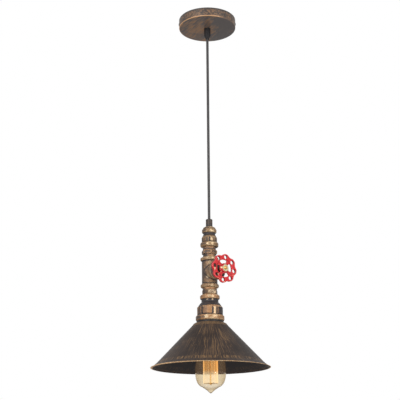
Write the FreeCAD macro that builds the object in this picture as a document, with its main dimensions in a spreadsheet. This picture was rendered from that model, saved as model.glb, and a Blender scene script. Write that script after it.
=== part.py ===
import FreeCAD, Part

import math
import os
import re

import Sketcher

# Pendant lamp made of pipe fittings, hung from a round ceiling canopy.
# Millimetres. The origin is the middle of the bracket's ceiling face, +Z is up, the viewer stands at -Y.

os.makedirs("parts", exist_ok=True)
doc = FreeCAD.newDocument("pendant_lamp")
Vector = FreeCAD.Vector

# Driving dimensions

SIZES = {
    # canopy and bracket
    "canopy_radius": "65.0",
    "canopy_depth": "20.6",
    "canopy_wall": "1.0",
    "canopy_corner": "1.8",
    "bracket_width": "18.0",
    "bracket_thickness": "2.0",
    "bracket_drop": "13.0",
    "bracket_clearance": "0.9",
    "slot_spacing": "84.0",
    "slot_width": "5.0",
    "slot_length": "14.0",
    "wire_hole_radius": "6.0",
    "side_screw_radius": "2.0",
    "side_screw_length": "8.0",
    "side_screw_depth": "9.0",
    "side_head_radius": "3.6",
    "side_head_height": "0.9",
    # connections under the bracket
    "block_length": "24.0",
    "block_width": "15.0",
    "block_height": "9.0",
    "block_offset": "21.0",
    "block_pitch": "8.0",
    "block_screw_radius": "1.5",
    "block_screw_depth": "3.2",
    "block_screw_recess": "0.8",
    "block_screw_inset": "4.0",
    "block_lead_depth": "6.0",
    "fixing_screw_radius": "1.4",
    "earth_offset": "17.0",
    "earth_screw_radius": "2.0",
    "earth_head_radius": "3.6",
    "earth_head_height": "2.2",
    "tag_radius": "4.2",
    "tag_thickness": "0.8",
    "barrel_radius": "1.7",
    "barrel_length": "5.0",
    # cord grip
    "grip_radius": "7.4",
    "grip_length": "18.8",
    "grip_taper": "7.4",
    "grip_base": "7.0",
    "grip_stem_radius": "5.0",
    "grip_stem_rise": "5.5",
    "grip_spigot_radius": "5.2",
    "grip_spigot_length": "7.5",
    "grip_mouth_wall": "0.9",
    "grip_seal_length": "4.0",
    "locknut_flats": "14.0",
    "locknut_height": "3.0",
    # cord and leads
    "cord_radius": "2.9",
    "cord_tip_radius": "0.5",
    "cord_free": "431.0",
    "swing_room": "0.4",
    "pivot_gap": "0.3",
    "sheath_rise": "7.0",
    "core_radius": "0.9",
    "core_pitch_radius": "1.4",
    "core_bend": "3.3",
    # clearances
    "thread_clearance": "0.05",
    "seat_clearance": "0.1",
    # top nipple
    "nipple_radius": "7.2",
    "nipple_bore": "5.2",
    "nipple_show": "17.0",
    "nipple_thread": "12.0",
    "nipple_chamfer": "0.9",
    "bush_length": "13.0",
    "lock_screw_radius": "1.5",
    "lock_screw_depth": "9.0",
    "sheath_drop": "22.0",
    # pipe thread shared by the nipples, the tee and the sockets
    "pipe_thread_radius": "13.2",
    "pipe_thread_length": "11.0",
    "pipe_bore": "10.0",
    # upper reducing socket
    "upper_crown_radius": "9.0",
    "upper_crown_drop": "2.7",
    "upper_plain": "2.6",
    "upper_small_root": "13.4",
    "upper_small_bead": "9.0",
    "upper_small_rise": "2.4",
    "upper_neck_radius": "12.8",
    "upper_neck_length": "3.9",
    "upper_flare": "7.0",
    "upper_body_radius": "15.8",
    "upper_body_length": "10.2",
    "upper_large_root": "16.8",
    "upper_large_bead": "9.8",
    "upper_large_rise": "2.7",
    "upper_rib_width": "2.8",
    "upper_rib_turn": "9.5",
    "upper_pad_angle": "39.0",
    "upper_relief": "0.8",
    # hexagon nipples
    "hexagon_radius": "17.4",
    "upper_neck_show": "7.0",
    "upper_hexagon_height": "9.0",
    "upper_collar_show": "7.3",
    "upper_hexagon_turn": "43.0",
    "nipple_neck_radius": "13.9",
    "panel_border": "1.6",
    "panel_depth": "0.6",
    "lower_neck_show": "5.0",
    "lower_hexagon_height": "9.2",
    "lower_collar_show": "0.6",
    "lower_hexagon_turn": "20.0",
    "lower_nipple_neck_radius": "15.2",
    # tee
    "tee_length": "65.4",
    "tee_reach": "33.0",
    "tee_radius": "16.6",
    "tee_bead": "7.4",
    "tee_rise": "2.9",
    "outlet_turn": "34.0",
    # outlet, spindle and handwheel
    "bush_flange_radius": "14.6",
    "bush_flange_height": "2.0",
    "bush_depth": "12.0",
    "gland_radius": "7.6",
    "gland_height": "7.0",
    "spindle_radius": "3.0",
    "spindle_collar_radius": "5.0",
    "spindle_collar_height": "2.5",
    "running_clearance": "0.05",
    "wheel_reach": "53.0",
    "wheel_radius": "31.0",
    "wheel_rim_width": "11.6",
    "wheel_rim_thickness": "5.6",
    "wheel_web_thickness": "4.0",
    "wheel_hub_radius": "8.8",
    "wheel_hub_front": "5.0",
    "wheel_hub_back": "5.6",
    "wheel_hole_radius": "4.3",
    "wheel_hole_circle": "24.3",
    "wheel_hole_turn": "36.6",
    "wheel_valley_depth": "3.4",
    "wheel_lobe_drop": "2.09",
    "wheel_lobe_angle": "27.0",
    "wheel_window_inner": "10.6",
    "wheel_window_outer": "18.4",
    "wheel_window_angle": "63.0",
    "wheel_window_turn": "8.0",
    "washer_radius": "7.2",
    "washer_thickness": "1.0",
    "screw_head_radius": "3.4",
    "screw_head_height": "2.2",
    "screw_shank_radius": "1.5",
    "screw_shank_length": "8.0",
    # lower reducing socket
    "lower_crown_radius": "17.2",
    "lower_crown_drop": "0.8",
    "lower_plain": "0.4",
    "lower_small_root": "18.4",
    "lower_small_bead": "9.2",
    "lower_small_rise": "2.5",
    "lower_neck_radius": "18.0",
    "lower_neck_length": "6.2",
    "lower_flare": "12.2",
    "lower_body_radius": "26.3",
    "lower_body_length": "15.9",
    "lower_large_root": "27.6",
    "lower_large_bead": "11.5",
    "lower_large_rise": "2.6",
    "lower_rib_width": "5.4",
    "lower_rib_turn": "46.9",
    "lower_pad_angle": "42.0",
    "lower_relief": "0.9",
    "chamber_radius": "22.8",
    "chamber_depth": "28.3",
    "chamber_throat": "18.6",
    # lampholder and what carries it
    "plate_thickness": "3.0",
    "holder_tube_radius": "5.0",
    "holder_tube_bore": "3.5",
    "holder_tube_rise": "5.0",
    "holder_tube_grip": "9.0",
    "holder_nut_flats": "13.0",
    "holder_nut_height": "3.0",
    "plate_screw_offset": "14.6",
    "plate_screw_radius": "1.6",
    "plate_head_radius": "3.4",
    "plate_head_height": "1.8",
    "cap_radius": "19.6",
    "cap_wall": "2.4",
    "cap_boss_radius": "9.0",
    "cap_boss_height": "3.0",
    "skirt_radius": "19.9",
    "skirt_rise": "7.8",
    "skirt_drop": "31.0",
    "skirt_flange_radius": "21.8",
    "skirt_flange_height": "3.0",
    "skirt_bore": "16.8",
    "skirt_ledge_bore": "14.8",
    "skirt_ledge_drop": "3.2",
    "insert_height": "8.0",
    "shell_bore": "13.5",
    "shell_wall": "0.5",
    "shell_length": "26.0",
    "contact_radius": "4.0",
    "contact_drop": "1.7",
    "post_circle": "9.5",
    "post_radius": "2.6",
    "post_height": "5.0",
    "post_screw_radius": "1.5",
    "post_screw_height": "1.4",
    "shade_ring_radius": "26.0",
    "shade_ring_height": "6.0",
    "shade_ring_notch": "1.3",
    # collar and shade
    "collar_radius": "28.6",
    "collar_height": "3.9",
    "collar_bore": "22.3",
    "shade_radius": "125.0",
    "shade_height": "94.6",
    "shade_wall": "1.0",
    "shade_hole_radius": "20.2",
    "shade_crown_radius": "29.6",
    "shade_shoulder_radius": "37.4",
    "shade_shoulder_drop": "5.8",
    "shade_lip_run": "13.5",
    "shade_lip_height": "11.0",
    "rim_bead_radius": "2.2",
    # bulb
    "bulb_cap_radius": "13.1",
    "bulb_cap_height": "20.0",
    "bulb_cap_wall": "0.4",
    "insulator_height": "2.6",
    "insulator_radius": "9.5",
    "tip_radius": "3.2",
    "tip_height": "1.4",
    "bulb_length": "140.0",
    "bulb_radius": "32.0",
    "bulb_neck_radius": "14.0",
    "bulb_glass_wall": "0.8",
    "bulb_widest_rise": "52.0",
    "bulb_widest_run": "10.0",
    "bulb_shoulder_radius": "28.6",
    "bulb_shoulder_rise": "23.0",
    "bulb_cone_radius": "21.5",
    "bulb_cone_rise": "14.3",
    "bulb_cone_hollow": "1.1",
    "stem_flare_radius": "11.7",
    "stem_flare_drop": "20.0",
    "stem_rod_radius": "1.7",
    "stem_hub_radius": "2.8",
    "cage_radius": "16.4",
    "cage_top": "46.0",
    "cage_rise": "20.5",
    "cage_wire_radius": "0.3",
    "cage_bend": "2.4",
    "support_radius": "0.35",
}

# Counts

SIDE_SCREWS = 2
BLOCK_WAYS = 3
RELIEF_COUNT = 5
WHEEL_LOBES = 8
WHEEL_WINDOWS = 4
RING_NOTCHES = 12
HOLDER_POSTS = 2
CAGE_STRANDS = 16
WIRE_SIDES = 6

sheet = doc.addObject("Spreadsheet::Sheet", "Sizes")
for row, (alias, number) in enumerate(SIZES.items(), start=1):
    sheet.set(f"A{row}", alias)
    sheet.set(f"B{row}", number)
    sheet.setAlias(f"B{row}", alias)
doc.recompute()


# Sizes and expressions


def bound(text):
    """The same expression as another object writes it, with the sheet's name before each size."""
    return re.sub(r"[a-z_]+", lambda word: "Sizes." + word[0] if word[0] in SIZES else word[0], text)


def value(text):
    """The number that an expression of sizes gives."""
    return float(sheet.evalExpression(text))


def bind(item, name, text):
    """Ties one property of an object to an expression of sizes."""
    item.setExpression(name, bound(text))


# Levels from the ceiling down

CANOPY_FACE = "(-canopy_depth)"
GRIP_MOUTH = f"({CANOPY_FACE} - grip_length - grip_taper)"
NIPPLE_TOP = f"({GRIP_MOUTH} - cord_free)"
UPPER_SOCKET_TOP = f"({NIPPLE_TOP} - nipple_show)"
UPPER_SOCKET_HEIGHT = (
    "(upper_crown_drop + upper_plain + upper_small_bead + upper_neck_length + upper_flare"
    " + upper_body_length + upper_large_bead)"
)
UPPER_NIPPLE_TOP = f"({UPPER_SOCKET_TOP} - {UPPER_SOCKET_HEIGHT})"
TEE_TOP = f"({UPPER_NIPPLE_TOP} - upper_neck_show - upper_hexagon_height - upper_collar_show)"
OUTLET_LEVEL = f"({TEE_TOP} - tee_length / 2)"
LOWER_NIPPLE_TOP = f"({TEE_TOP} - tee_length)"
LOWER_SOCKET_TOP = f"({LOWER_NIPPLE_TOP} - lower_neck_show - lower_hexagon_height - lower_collar_show)"
LOWER_SOCKET_HEIGHT = (
    "(lower_crown_drop + lower_plain + lower_small_bead + lower_neck_length + lower_flare"
    " + lower_body_length + lower_large_bead)"
)
COLLAR_TOP = f"({LOWER_SOCKET_TOP} - {LOWER_SOCKET_HEIGHT})"
SHADE_TOP = f"({COLLAR_TOP} - collar_height)"
PLATE_TOP = f"({LOWER_SOCKET_TOP} - chamber_depth)"
CAP_TOP = f"({PLATE_TOP} - plate_thickness)"
SKIRT_TOP = f"({SHADE_TOP} + skirt_rise)"
INSERT_BASE = f"({SHADE_TOP} - skirt_ledge_drop)"
BULB_TOP = f"({INSERT_BASE} - contact_drop - pivot_gap)"


# Bodies and sketches


def new_body(name, level="0", turn="0"):
    """A sub-part of its own, at a level below the ceiling and turned about the lamp's axis."""
    body = doc.addObject("PartDesign::Body", name)
    body.Label = name
    body.AllowCompound = True
    bind(body, "Placement.Base.z", level)
    bind(body, "Placement.Rotation.Yaw", turn)
    return body


def outlet_body(name, reach="0"):
    """A sub-part whose own Z axis is the axis of the tee's outlet, at a distance from the pipe's axis."""
    body = new_body(name, OUTLET_LEVEL, "outlet_turn")
    bind(body, "Placement.Rotation.Roll", "90")
    bind(body, "Placement.Base.x", f"({reach}) * sin(outlet_turn)")
    bind(body, "Placement.Base.y", f"-({reach}) * cos(outlet_turn)")
    return body


def sketch_on(body, role, lift="0", turn="0"):
    """An empty sketch on one of the body's own origin planes, lifted along or turned about Z."""
    plane = [item for item in body.Origin.OriginFeatures if item.Role == role][0]
    sketch = body.newObject("Sketcher::SketchObject", body.Name + "_sketch")
    sketch.AttachmentSupport = [(plane, "")]
    sketch.MapMode = "FlatFace"
    if role == "XY_Plane":
        bind(sketch, "AttachmentOffset.Base.z", lift)
        bind(sketch, "AttachmentOffset.Rotation.Yaw", turn)
    else:
        bind(sketch, "AttachmentOffset.Rotation.Pitch", turn)
    return sketch


def fix(sketch, kind, item, end, text):
    """One dimension from the sketch's origin to a point, bound to an expression."""
    index = sketch.addConstraint(Sketcher.Constraint(kind, -1, 1, item, end, value(text)))
    sketch.setExpression(f"Constraints[{index}]", bound(text))


def outline(sketch, points):
    """A closed outline through points of two expressions each.

    A third expression makes the run to the next point an arc, whose crown stands that far out to the left.
    """
    count = len(points)
    places = [Vector(value(point[0]), value(point[1]), 0) for point in points]
    items = []
    ends = []
    for index, point in enumerate(points):
        start, stop = places[index], places[(index + 1) % count]
        if len(point) == 3:
            crown = value(point[2])
            side = Vector(start.y - stop.y, stop.x - start.x, 0).normalize()
            middle = (start + stop) * 0.5 + side * crown
            ends.append((1, 2) if crown < 0 else (2, 1))
            shape = Part.Arc(start, middle, stop) if crown < 0 else Part.Arc(stop, middle, start)
        else:
            ends.append((1, 2))
            shape = Part.LineSegment(start, stop)
        items.append(sketch.addGeometry(shape, False))
    for index, point in enumerate(points):
        after = (index + 1) % count
        joint = Sketcher.Constraint("Coincident", items[index], ends[index][1], items[after], ends[after][0])
        sketch.addConstraint(joint)
        fix(sketch, "DistanceX", items[index], ends[index][0], point[0])
        fix(sketch, "DistanceY", items[index], ends[index][0], point[1])
        if len(point) == 3:
            fix_centre(sketch, items[index], point, points[after], places[after] - places[index])
    return sketch


def fix_centre(sketch, item, start, stop, run):
    """Holds an arc's centre, the last freedom of an arc between two held points."""
    across = f"(({stop[0]}) - ({start[0]}))"
    along = f"(({stop[1]}) - ({start[1]}))"
    chord = f"sqrt({across}^2 + {along}^2)"
    back = f"({chord}^2 / (8 * ({start[2]})) - ({start[2]}) / 2)"
    if abs(run.y) >= abs(run.x):
        fix(sketch, "DistanceX", item, 3, f"(({start[0]}) + ({stop[0]})) / 2 + {back} * {along} / {chord}")
    else:
        fix(sketch, "DistanceY", item, 3, f"(({start[1]}) + ({stop[1]})) / 2 - {back} * {across} / {chord}")


def circle(sketch, across, along, radius):
    """A circle with its centre and radius bound."""
    centre = Vector(value(across), value(along), 0)
    item = sketch.addGeometry(Part.Circle(centre, Vector(0, 0, 1), value(radius)), False)
    fix(sketch, "DistanceX", item, 3, across)
    fix(sketch, "DistanceY", item, 3, along)
    index = sketch.addConstraint(Sketcher.Constraint("Radius", item, value(radius)))
    sketch.setExpression(f"Constraints[{index}]", bound(radius))
    return sketch


def rectangle(sketch, low_x, low_y, high_x, high_y):
    """A rectangle between two bound corners."""
    return outline(sketch, [(low_x, low_y), (high_x, low_y), (high_x, high_y), (low_x, high_y)])


def hexagon(sketch, radius):
    """A regular hexagon on its corner radius."""
    return outline(sketch, [(f"({radius}) * cos({60 * side})", f"({radius}) * sin({60 * side})") for side in range(6)])


# Features


def turned(body, points, angle="360", turn="0"):
    """Revolves an outline of radius and height about the body's Z axis."""
    sketch = outline(sketch_on(body, "XZ_Plane", turn=turn), points)
    return revolved(body, sketch, angle)


def revolved(body, sketch, angle="360"):
    """Adds a revolved sketch, centred on the sketch's own plane where it isn't a whole turn."""
    feature = body.newObject("PartDesign::Revolution", body.Name + "_turned")
    feature.Profile = sketch
    feature.ReferenceAxis = (sketch, ["V_Axis"])
    feature.Midplane = True
    bind(feature, "Angle", angle)
    body.Tip = feature
    return feature


def grooved(body, points):
    """Turns a groove of this outline out of the body."""
    sketch = outline(sketch_on(body, "XZ_Plane"), points)
    feature = body.newObject("PartDesign::Groove", body.Name + "_groove")
    feature.Profile = sketch
    feature.ReferenceAxis = (sketch, ["V_Axis"])
    feature.Midplane = True
    bind(feature, "Angle", "360")
    body.Tip = feature
    return feature


def padded(body, sketch, length):
    """Raises a sketch by a length."""
    feature = body.newObject("PartDesign::Pad", body.Name + "_pad")
    feature.Profile = sketch
    bind(feature, "Length", length)
    body.Tip = feature
    return feature


def cut_up(body, sketch, length):
    """Cuts a sketch out of the body from its plane upwards."""
    feature = body.newObject("PartDesign::Pocket", body.Name + "_cut")
    feature.Profile = sketch
    feature.Reversed = True
    bind(feature, "Length", length)
    body.Tip = feature
    return feature


def cut_both(body, sketch, length):
    """Cuts a sketch out of the body to both sides of its plane."""
    feature = body.newObject("PartDesign::Pocket", body.Name + "_cut")
    feature.Profile = sketch
    feature.Midplane = True
    bind(feature, "Length", length)
    body.Tip = feature
    return feature


def repeated(body, feature, count):
    """Repeats a feature round the body's Z axis."""
    axis = [item for item in body.Origin.OriginFeatures if item.Role == "Z_Axis"][0]
    pattern = body.newObject("PartDesign::PolarPattern", body.Name + "_pattern")
    pattern.Originals = [feature]
    pattern.Axis = (axis, [""])
    pattern.Angle = 360
    pattern.Occurrences = count
    body.Tip = pattern
    return pattern


def ring(body, inner, outer, low, high):
    """A plain ring between two radii and two heights."""
    return turned(body, [(inner, low), (outer, low), (outer, high), (inner, high)])


def disc(body, radius, low, high):
    """A plain disc on the body's axis."""
    return padded(body, circle(sketch_on(body, "XY_Plane", low), "0", "0", radius), f"({high}) - ({low})")


# Canopy and ceiling bracket


def ceiling_bracket():
    """A flat strip with two slots for the ceiling screws and two ears bent down for the canopy's screws."""
    body = new_body("ceiling_bracket")
    half = "(sqrt((canopy_radius - canopy_wall)^2 - (bracket_width / 2)^2) - bracket_clearance / 2)"
    inner = f"({half} - bracket_thickness)"
    points = [
        (f"-{half}", "0"),
        (f"-{half}", "-bracket_drop"),
        (f"-{inner}", "-bracket_drop"),
        (f"-{inner}", "-bracket_thickness"),
        (inner, "-bracket_thickness"),
        (inner, "-bracket_drop"),
        (half, "-bracket_drop"),
        (half, "0"),
    ]
    strip = padded(body, outline(sketch_on(body, "XZ_Plane"), points), "bracket_width")
    strip.Midplane = True
    reach = "(bracket_thickness * 2)"
    for side in ("-1", "1"):
        sketch = sketch_on(body, "XY_Plane", "-bracket_thickness")
        middle = f"{side} * slot_spacing / 2"
        straight = "(slot_length - slot_width) / 2"
        points = [
            (f"{middle} - {straight}", "-slot_width / 2"),
            (f"{middle} + {straight}", "-slot_width / 2", "-slot_width / 2"),
            (f"{middle} + {straight}", "slot_width / 2"),
            (f"{middle} - {straight}", "slot_width / 2", "-slot_width / 2"),
        ]
        cut_up(body, outline(sketch, points), reach)
    holes = (
        ("0", "0", "wire_hole_radius"),
        ("-block_offset", "block_pitch / 2", "fixing_screw_radius + thread_clearance"),
        ("earth_offset", "0", "earth_screw_radius + thread_clearance"),
    )
    for across, along, radius in holes:
        cut_up(body, circle(sketch_on(body, "XY_Plane", "-bracket_thickness"), across, along, radius), reach)
    sketch = circle(sketch_on(body, "YZ_Plane"), "0", "-side_screw_depth", "side_screw_radius + thread_clearance")
    cut_both(body, sketch, "canopy_radius * 2")


def canopy_cover():
    """A spun steel cup with a hole for the cord grip and one for each side screw."""
    body = new_body("canopy_cover")
    corner = "canopy_corner * 0.293"
    inside = "(canopy_corner - canopy_wall)"
    points = [
        ("grip_stem_radius + seat_clearance", "-canopy_depth + canopy_wall"),
        ("grip_stem_radius + seat_clearance", "-canopy_depth"),
        ("canopy_radius - canopy_corner", "-canopy_depth", f"-{corner}"),
        ("canopy_radius", "-canopy_depth + canopy_corner"),
        ("canopy_radius", "0"),
        ("canopy_radius - canopy_wall", "0"),
        ("canopy_radius - canopy_wall", "-canopy_depth + canopy_corner", f"{inside} * 0.293"),
        ("canopy_radius - canopy_corner", "-canopy_depth + canopy_wall"),
    ]
    turned(body, points)
    sketch = circle(sketch_on(body, "YZ_Plane"), "0", "-side_screw_depth", "side_screw_radius + seat_clearance")
    cut_both(body, sketch, "canopy_radius * 3")


def canopy_screws():
    """Low-headed screws through the canopy's wall into the bracket's ears."""
    body = new_body("canopy_screws", "-side_screw_depth")
    bind(body, "Placement.Rotation.Pitch", "90")
    face = "canopy_radius"
    points = [
        ("0", f"{face} + side_head_height"),
        ("0", f"{face} + side_head_height - side_screw_length"),
        ("side_screw_radius", f"{face} + side_head_height - side_screw_length"),
        ("side_screw_radius", face),
        ("side_head_radius", face),
        ("side_head_radius", f"{face} + side_head_height * 0.4", "side_head_height * 0.25"),
        ("side_head_radius * 0.6", f"{face} + side_head_height"),
    ]
    screw = turned(body, points)
    axis = [item for item in body.Origin.OriginFeatures if item.Role == "Y_Axis"][0]
    pattern = body.newObject("PartDesign::PolarPattern", "canopy_screws_pattern")
    pattern.Originals = [screw]
    pattern.Axis = (axis, [""])
    pattern.Angle = 360
    pattern.Occurrences = SIDE_SCREWS
    body.Tip = pattern


ceiling_bracket()
canopy_cover()
canopy_screws()


# Connections under the bracket


def terminal_block():
    """A three-way block under the bracket, with a wire hole through each way and a screw hole at each end."""
    body = new_body("terminal_block", "-bracket_thickness")
    bind(body, "Placement.Base.x", "-block_offset")
    low = "-block_height"
    sketch = rectangle(
        sketch_on(body, "XY_Plane", low), "-block_width / 2", "-block_length / 2", "block_width / 2", "block_length / 2"
    )
    padded(body, sketch, "block_height")
    fixing = circle(sketch_on(body, "XY_Plane", low), "0", "block_pitch / 2", "fixing_screw_radius + thread_clearance")
    cut_up(body, fixing, "block_height")
    for way in range(BLOCK_WAYS):
        along = f"block_pitch * {way - (BLOCK_WAYS - 1) / 2}"
        wire = circle(sketch_on(body, "YZ_Plane"), along, "-block_height / 2", "core_radius + seat_clearance")
        cut_both(body, wire, "block_width * 2")
        for side in (-1, 1):
            across = f"{side} * (block_width / 2 - block_screw_inset)"
            hole = circle(sketch_on(body, "XY_Plane", low), across, along, "block_screw_radius + thread_clearance")
            cut_up(body, hole, "block_screw_depth")


def terminal_screws():
    """The clamping screws, sunk in from below, one at each end of each way."""
    body = new_body("terminal_screws", "-bracket_thickness")
    bind(body, "Placement.Base.x", "-block_offset")
    for way in range(BLOCK_WAYS):
        for side in (-1, 1):
            along = f"block_pitch * {way - (BLOCK_WAYS - 1) / 2}"
            across = f"{side} * (block_width / 2 - block_screw_inset)"
            level = "-block_height + block_screw_recess"
            sketch = circle(sketch_on(body, "XY_Plane", level), across, along, "block_screw_radius")
            padded(body, sketch, "block_screw_depth - block_screw_recess")


def terminal_fixing_screw():
    """The screw that holds the block to the bracket."""
    body = new_body("terminal_fixing_screw", "-bracket_thickness")
    bind(body, "Placement.Base.x", "-block_offset")
    bind(body, "Placement.Base.y", "block_pitch / 2")
    points = [
        ("0", "bracket_thickness"),
        ("0", "-block_height - fixing_screw_radius"),
        ("fixing_screw_radius * 1.7", "-block_height - fixing_screw_radius"),
        ("fixing_screw_radius * 1.9", "-block_height"),
        ("fixing_screw_radius", "-block_height"),
        ("fixing_screw_radius", "bracket_thickness"),
    ]
    turned(body, points)


def earth_screw():
    """The earth screw in the bracket, clamping the ring tag."""
    body = new_body("earth_screw", "-bracket_thickness")
    bind(body, "Placement.Base.x", "earth_offset")
    seat = "-tag_thickness"
    points = [
        ("0", "bracket_thickness"),
        ("0", f"{seat} - earth_head_height"),
        ("earth_head_radius * 0.7", f"{seat} - earth_head_height", "earth_head_height * 0.15"),
        ("earth_head_radius", f"{seat} - earth_head_height * 0.5"),
        ("earth_head_radius", seat),
        ("earth_screw_radius", seat),
        ("earth_screw_radius", "bracket_thickness"),
    ]
    turned(body, points)


def earth_tag():
    """A ring tag under the bracket, with a crimped barrel for the earth lead."""
    body = new_body("earth_tag", "-bracket_thickness")
    bind(body, "Placement.Base.x", "earth_offset")
    hole = "earth_screw_radius + thread_clearance"
    ring(body, hole, "tag_radius", "-tag_thickness", "0")
    barrel_end = "-(tag_radius + 0.4)"
    barrel_start = f"({barrel_end} - barrel_length)"
    tongue = rectangle(
        sketch_on(body, "XY_Plane", "-tag_thickness"), barrel_start, "-barrel_radius * 0.7", "-tag_radius * 0.8",
        "barrel_radius * 0.7"
    )
    padded(body, tongue, "tag_thickness")
    barrel = circle(sketch_on(body, "YZ_Plane"), "0", "-barrel_radius - tag_thickness * 0.5", "barrel_radius")
    bind(barrel, "AttachmentOffset.Base.z", barrel_start)
    padded(body, barrel, "barrel_length")
    bore = circle(sketch_on(body, "YZ_Plane"), "0", "-barrel_radius - tag_thickness * 0.5",
                  "core_radius + thread_clearance")
    bind(bore, "AttachmentOffset.Base.z", barrel_start)
    cut_up(body, bore, "barrel_length")


terminal_block()
terminal_screws()
terminal_fixing_screw()
earth_screw()
earth_tag()


# Cord grip


def cord_grip_body():
    """The grip's base against the canopy, its threaded stem above and its spigot below."""
    body = new_body("cord_grip_body", CANOPY_FACE)
    bore = "cord_radius + seat_clearance"
    points = [
        (bore, "canopy_wall + grip_stem_rise"),
        (bore, "-grip_base - grip_spigot_length"),
        ("grip_spigot_radius", "-grip_base - grip_spigot_length"),
        ("grip_spigot_radius", "-grip_base"),
        ("grip_radius", "-grip_base"),
        ("grip_radius", "0"),
        ("grip_stem_radius", "0"),
        ("grip_stem_radius", "canopy_wall + grip_stem_rise"),
    ]
    turned(body, points)


def cord_grip_seal():
    """The ring that the cap nut presses onto the cord."""
    body = new_body("cord_grip_seal", CANOPY_FACE)
    top = "-(grip_base + grip_spigot_length + seat_clearance)"
    ring(body, "cord_radius + thread_clearance", "grip_spigot_radius", f"{top} - grip_seal_length", top)


def cord_grip_cap():
    """The cap nut: a plain barrel over the spigot and a taper down to the cord."""
    body = new_body("cord_grip_cap", CANOPY_FACE)
    spigot = "grip_spigot_radius + thread_clearance"
    mouth = "cord_radius + swing_room"
    seat = "-(grip_base + grip_spigot_length + grip_seal_length + seat_clearance * 2)"
    points = [
        (spigot, "-grip_base - thread_clearance"),
        (spigot, seat),
        (mouth, seat),
        (mouth, "-grip_length - grip_taper"),
        (f"{mouth} + grip_mouth_wall", "-grip_length - grip_taper"),
        (f"{mouth} + grip_mouth_wall * 1.4", "-grip_length - grip_taper * 0.7"),
        ("grip_radius", "-grip_length"),
        ("grip_radius", "-grip_base - thread_clearance"),
    ]
    turned(body, points)


def locknut(name, level, flats, height, bore):
    """A thin hexagon nut, standing on a level."""
    body = new_body(name, level)
    sketch = hexagon(sketch_on(body, "XY_Plane"), f"{flats} / sqrt(3)")
    padded(body, circle(sketch, "0", "0", bore), height)


cord_grip_body()
cord_grip_seal()
cord_grip_cap()
locknut(
    "cord_grip_locknut", f"{CANOPY_FACE} + canopy_wall", "locknut_flats", "locknut_height",
    "grip_stem_radius + thread_clearance"
)


# Cord


def suspension_cord():
    """The free length of the cord, straight under the lamp's weight, with a round end at each pivot."""
    body = new_body("suspension_cord", NIPPLE_TOP)
    tip = "cord_tip_radius"
    end = f"sqrt(cord_radius^2 - {tip}^2)"
    crown = f"(cord_radius - sqrt(cord_radius^2 - ((cord_radius - {tip})^2 + {end}^2) / 4))"
    points = [
        ("0", f"-{end}"),
        (tip, f"-{end}", f"-{crown}"),
        ("cord_radius", "0"),
        ("cord_radius", "cord_free", f"-{crown}"),
        (tip, f"cord_free + {end}"),
        ("0", f"cord_free + {end}"),
    ]
    turned(body, points)


def sheath_ends():
    """The cord's fixed ends: one up through the grip, one down inside the top nipple."""
    upper = new_body("cord_upper_end", GRIP_MOUTH)
    disc(upper, "cord_radius", "cord_radius + pivot_gap", "grip_taper + grip_length + canopy_wall + sheath_rise")
    lower = new_body("cord_lower_end", NIPPLE_TOP)
    disc(lower, "cord_radius", "-sheath_drop", "-cord_radius - pivot_gap")


suspension_cord()
sheath_ends()


# Top nipple


def top_nipple():
    """A short threaded pipe that takes the cord into the upper socket."""
    body = new_body("top_nipple", NIPPLE_TOP)
    points = [
        ("nipple_bore", "0"),
        ("nipple_bore", "-nipple_show - nipple_thread"),
        ("nipple_radius", "-nipple_show - nipple_thread"),
        ("nipple_radius", "-nipple_chamfer"),
        ("nipple_radius - nipple_chamfer", "0"),
    ]
    turned(body, points)
    hole = circle(sketch_on(body, "XZ_Plane"), "0", "-lock_screw_depth", "lock_screw_radius + thread_clearance")
    wall = body.newObject("PartDesign::Pocket", "top_nipple_lock_hole")
    wall.Profile = hole
    bind(wall, "Length", "nipple_radius * 2")
    body.Tip = wall


def cord_bush():
    """The plastic bush that holds the cord in the nipple's mouth."""
    body = new_body("cord_bush", NIPPLE_TOP)
    mouth = "cord_radius + swing_room"
    grip = "cord_radius + thread_clearance"
    outer = "nipple_bore - thread_clearance"
    points = [
        (mouth, "0"),
        (mouth, "-cord_radius - pivot_gap"),
        (grip, "-cord_radius - pivot_gap"),
        (grip, "-bush_length"),
        (outer, "-bush_length"),
        (outer, "0"),
    ]
    turned(body, points)


def cord_lock_screw():
    """The grub screw in the back of the nipple, set against the bush."""
    body = new_body("cord_lock_screw", f"{NIPPLE_TOP} - lock_screw_depth")
    bind(body, "Placement.Rotation.Roll", "-90")
    disc(body, "lock_screw_radius", "nipple_bore", "nipple_radius - seat_clearance")


top_nipple()
cord_bush()
cord_lock_screw()


# Reducing sockets


def bead(root, rise, top, width):
    """The points of a cast bead: a flat band with rounded shoulders, followed from the top down."""
    corner = f"{width} * 0.34"
    crown = f"sqrt(({rise})^2 + ({corner})^2) * 0.2"
    return [
        (root, top, crown),
        (f"{root} + {rise}", f"{top} - {corner}"),
        (f"{root} + {rise}", f"{top} - {width} + {corner}", crown),
        (root, f"{top} - {width}"),
    ]


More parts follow.
